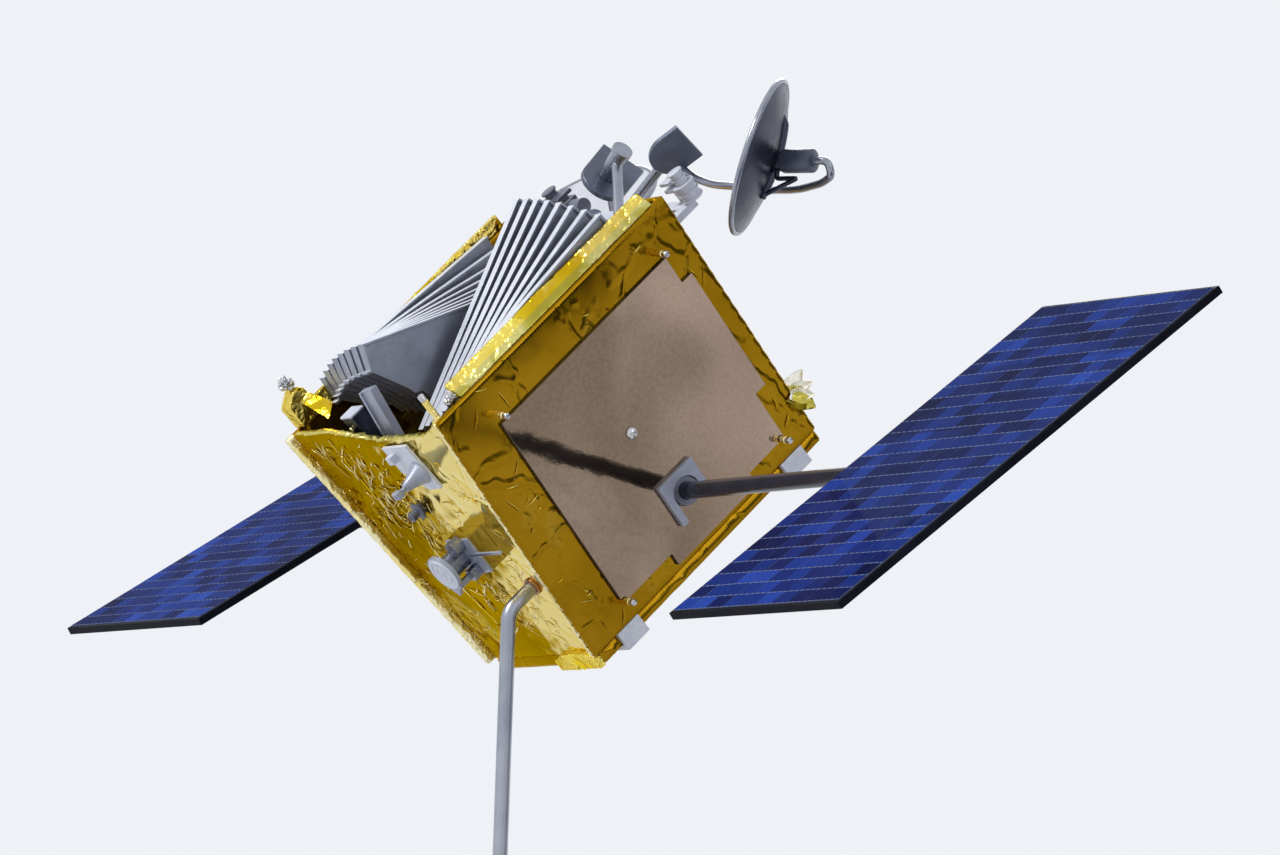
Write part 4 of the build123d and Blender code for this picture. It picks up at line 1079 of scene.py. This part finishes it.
def makeGusset():
    # a folded sheet between four corners: the mean of the corners' share at each u, v, lifted by folds
    u, v = np.meshgrid(np.linspace(0, 1, 40), np.linspace(0, 1, 24), indexing="ij")
    a, b, c, d = corners = np.array(gusset["corners"])
    shares = np.stack([(1 - u) * (1 - v), u * (1 - v), u * v, (1 - u) * v], axis=-1)
    width, height = gusset["size"]
    lift = foldField(np.stack([u * width, v * height, 0 * u], axis=-1).reshape(-1, 3), 7, 4, 3.0, 9.0)
    out = unit(np.cross(b - a, d - a))
    top = shares @ corners + out * (lift.reshape(u.shape) * gusset["fold"])[..., None]
    skin = Skin().add(thickSheet(top, -out * gusset["thickness"]))
    skin.build("cornerGusset", "brightGoldFilm", "root", slot="foil", sharp=30.0)


wads = {"rings": 40, "sides": 64, "roughness": 0.5,
        "lumps": [((61.0, 10.5, 2.2), (2.3, 2.6, 2.0)), ((-61.6, 11.6, 17.2), (2.7, 2.7, 2.9))]}


def wad(middle, size, seed):
    # a crumpled lump: an ellipsoid whose radius is scaled by 1 + roughness * folds
    t = np.linspace(0, math.pi, wads["rings"])[:, None, None]
    ball = np.sin(t) * circle(xWay, yWay, wads["sides"]) + np.cos(t) * zWay
    ball = ball.reshape(-1, 3)
    folds = foldField(ball * 10, 6, seed, 5.0, 14.0) * 1.4 + foldField(ball * 10, 5, seed + 9, 2.5, 5.0) * 0.6
    ball = ball * (1 + wads["roughness"] * folds)[:, None]
    return ball * np.array(size) + np.array(middle), ringFaces(wads["rings"], wads["sides"])


makeGusset()
silver = Skin()
for number, (middle, size) in enumerate(wads["lumps"]):
    silver.add(wad(middle, size, 21 + number))
silver.build("silverWads", "pinSteel", "root", slot="steel", sharp=28.0)
latchTop = {"place": (-19.5, 8.5, 1.45), "size": (9.3, 7.3, 1.1), "dot": (-22.0, 4.9, -4.0), "dotRadius": 1.3}
latch = Skin().add(block(latchTop["place"], (xWay, yWay), latchTop["size"], 0.3), 0)
latch.add(lathe(latchTop["dot"], outward, eased(latchTop["dotRadius"], -0.2, 0.5, 0.2), 20), 1)
latch.build("latchTop", "whitePrint tornGoldFilm", "root", slot="printed_white")
print("fittings made")

wing = {"inner": 194.0, "width": 126.0, "length": 208.0, "top": 7.7, "margin": 1.6, "sheet": 0.4,
        "boomY": 70.0, "boomZ": -98.0, "tilt": {"near": -6.5, "far": -13.0}, "columns": 10, "rows": 26,
        "cellGap": 0.16, "cellLift": 0.1, "cellTilt": 0.035, "seed": {"near": 31, "far": 57}}


def onWing(side, x, y, z):
    # wing points: x out from its inner edge, y along it, z above its board, turned by the wing's tilt
    tilt = math.radians(wing["tilt"][side])
    c, s = math.cos(tilt), math.sin(tilt)
    out, up = wing["inner"] + x, z + wing["top"]
    points = np.stack([out, wing["boomY"] + c * y - s * up, wing["boomZ"] + s * y + c * up], axis=-1)
    return pitched(points if side == "near" else mirrored(points)).reshape(-1, 3)


def makeCells(side):
    # a plain sheet, and on it one low block for each cell whose top leans by a hair its own way
    grid = np.array([wing["columns"], wing["rows"]])
    step = (np.array([wing["width"], wing["length"]]) - 2 * wing["margin"]) / grid
    corner = np.array([[0, 0], [1, 0], [1, 1], [0, 1]], float)
    around = np.arange(4)
    low = wing["sheet"] - wing["cellLift"]

    def layer(cells, height):
        x, y = np.moveaxis(cells * step + wing["margin"], -1, 0)
        return onWing(side, x, y - wing["length"] / 2, height)

    cell = np.stack(np.meshgrid(*map(np.arange, grid), indexing="ij"), axis=-1).reshape(-1, 1, 2)
    inset = wing["cellGap"] / step
    flat = cell + inset + corner * (1 - 2 * inset)
    tilt, chance = wing["cellTilt"], np.random.default_rng(wing["seed"][side])
    top = wing["sheet"] - tilt + chance.uniform(-tilt, tilt, flat.shape[:2])
    whole = corner * grid
    points = [layer(flat, top), layer(flat, np.full_like(top, low * 0.5)),
              layer(whole, np.full(4, low)), layer(whole, np.zeros(4))]
    faces = []
    for start, count in ((0, top.size), (2 * top.size, 4)):  # the cells, then the sheet: tops, then undersides
        base = start + np.arange(0, count, 4)[:, None]
        walls = [base + [a + count, b + count, b, a] for a, b in zip(around, np.roll(around, -1))]
        faces += [base + around, *walls, base + count + around[::-1]]
    faces = np.concatenate(faces)
    if side == "far":
        faces = faces[:, ::-1]
    uv = np.concatenate([flat.reshape(-1, 2), flat.reshape(-1, 2), np.zeros((8, 2))])
    buildMesh("solarCells" + side.capitalize(), np.concatenate(points), faces, "solarCells", "wing_" + side,
              smooth=False, uv=uv, replaces=["cell_sheet_" + side])


for side in ("near", "far"):
    makeCells(side)
print("cells laid")

# Pale floor and surroundings, with one dark card that the mirror film shows; cardEdge and floorFade are where
# the card and the backdrop start and are full.
studio = {"floorSize": 14.0, "floor": (0.80, 0.80, 0.81), "floorShade": (0.78, 0.78, 0.79),
          "sky": (0.86, 0.88, 0.92), "card": (0.10, 0.11, 0.13), "cardTowards": (0.74, 0.66, -0.11),
          "cardEdge": (0.55, 0.97), "ambient": 0.42, "floorFade": (0.9, 3.2), "target": (0.0, 0.05, 0.33),
          "lamps": [("keyLamp", (-0.2, -1.9, 2.1), 0.7, 46.0), ("fillLamp", (2.2, 0.9, 1.2), 1.6, 9.0),
                    ("rimLamp", (-1.6, 1.2, 1.5), 0.9, 14.0)]}
camera = {"place": (3.1145, -1.6886, 0.051), "right": (0.4909, 0.8705, 0.0343),
          "down": (-0.0509, 0.0679, -0.9964), "lens": 251.4, "sensor": 36.0}


def seenDirectly(maker):
    # 1 for rays from the camera, mirrors and glass, 0 for those that light the object
    rays = maker.node("LightPath")
    return (rays + rays.outlet("Is Glossy Ray") + rays.outlet("Is Transmission Ray")).within(0.0, 1.0)


def makeFloor():
    # one flat square under the base, which fades into the pale backdrop away from the object
    made, maker = startMaterial("floorPaint")
    place = objectPlace(maker)
    cloud = place.noise(1.4, 3.0).within(0.3, 0.7)
    tint = cloud.between(studio["floor"], studio["floorShade"])
    paint = maker.node("BsdfPrincipled", {"Base Color": tint, "Roughness": 0.8})
    backdrop = maker.node("Emission", {"Color": studio["sky"], "Strength": 1.0})
    fade = place.vector("LENGTH", output=1).within(*studio["floorFade"]) * seenDirectly(maker)
    maker.node("OutputMaterial", {"Surface": maker.node("MixShader", {0: fade, 1: paint, 2: backdrop})})
    half, drop = studio["floorSize"] / 2, -0.0005  # just under the base
    corners = [(-half, -half, drop), (half, -half, drop), (half, half, drop), (-half, half, drop)]
    mesh = bpy.data.meshes.new("floor")
    mesh.from_pydata(corners, [], [(0, 1, 2, 3)])
    mesh.materials.append(made)
    floor = linked("floor", mesh)


def makeWorld():
    # the pale surroundings and the card as they are seen; less of them lights the object
    world = bpy.data.worlds.new("studio")
    bpy.context.scene.world = world
    world.use_nodes = True
    world.node_tree.nodes.clear()
    maker = Shade(world.node_tree)
    towards = tuple(unit(studio["cardTowards"]))
    card = maker.node("TexCoord").vector("DOT_PRODUCT", {1: towards}, 1)
    tint = card.within(*studio["cardEdge"]).between(studio["sky"], studio["card"])
    shown = maker.node("Background", {"Color": tint, "Strength": 1.0})
    light = maker.node("Background", {"Color": studio["sky"], "Strength": studio["ambient"]})
    both = maker.node("MixShader", {0: seenDirectly(maker), 1: light, 2: shown})
    maker.node("OutputWorld", {"Surface": both})


def makeLamp(name, place, size, watts):
    lamp = bpy.data.lights.new(name, "AREA")
    lamp.shape = "DISK"
    lamp.size = size
    lamp.energy = watts
    thing = linked(name, lamp)
    thing.location = place
    thing.rotation_mode = "QUATERNION"
    thing.rotation_quaternion = (Vector(studio["target"]) - Vector(place)).to_track_quat("-Z", "Y")


def makeCamera():
    right, down = Vector(camera["right"]).normalized(), Vector(camera["down"])
    up = -(down - right * down.dot(right)).normalized()
    turn = Matrix((right, up, right.cross(up))).transposed().to_4x4()
    made = bpy.data.cameras.new("camera")
    made.lens = camera["lens"]
    made.sensor_width = camera["sensor"]
    made.clip_start, made.clip_end = 0.05, 60.0
    thing = linked("camera", made)
    thing.matrix_world = Matrix.Translation(camera["place"]) @ turn
    bpy.context.scene.camera = thing


makeFloor()
makeWorld()
for lamp in studio["lamps"]:
    makeLamp(*lamp)
makeCamera()
view = bpy.context.scene.view_settings
view.view_transform = "Standard"
print("studio ready")
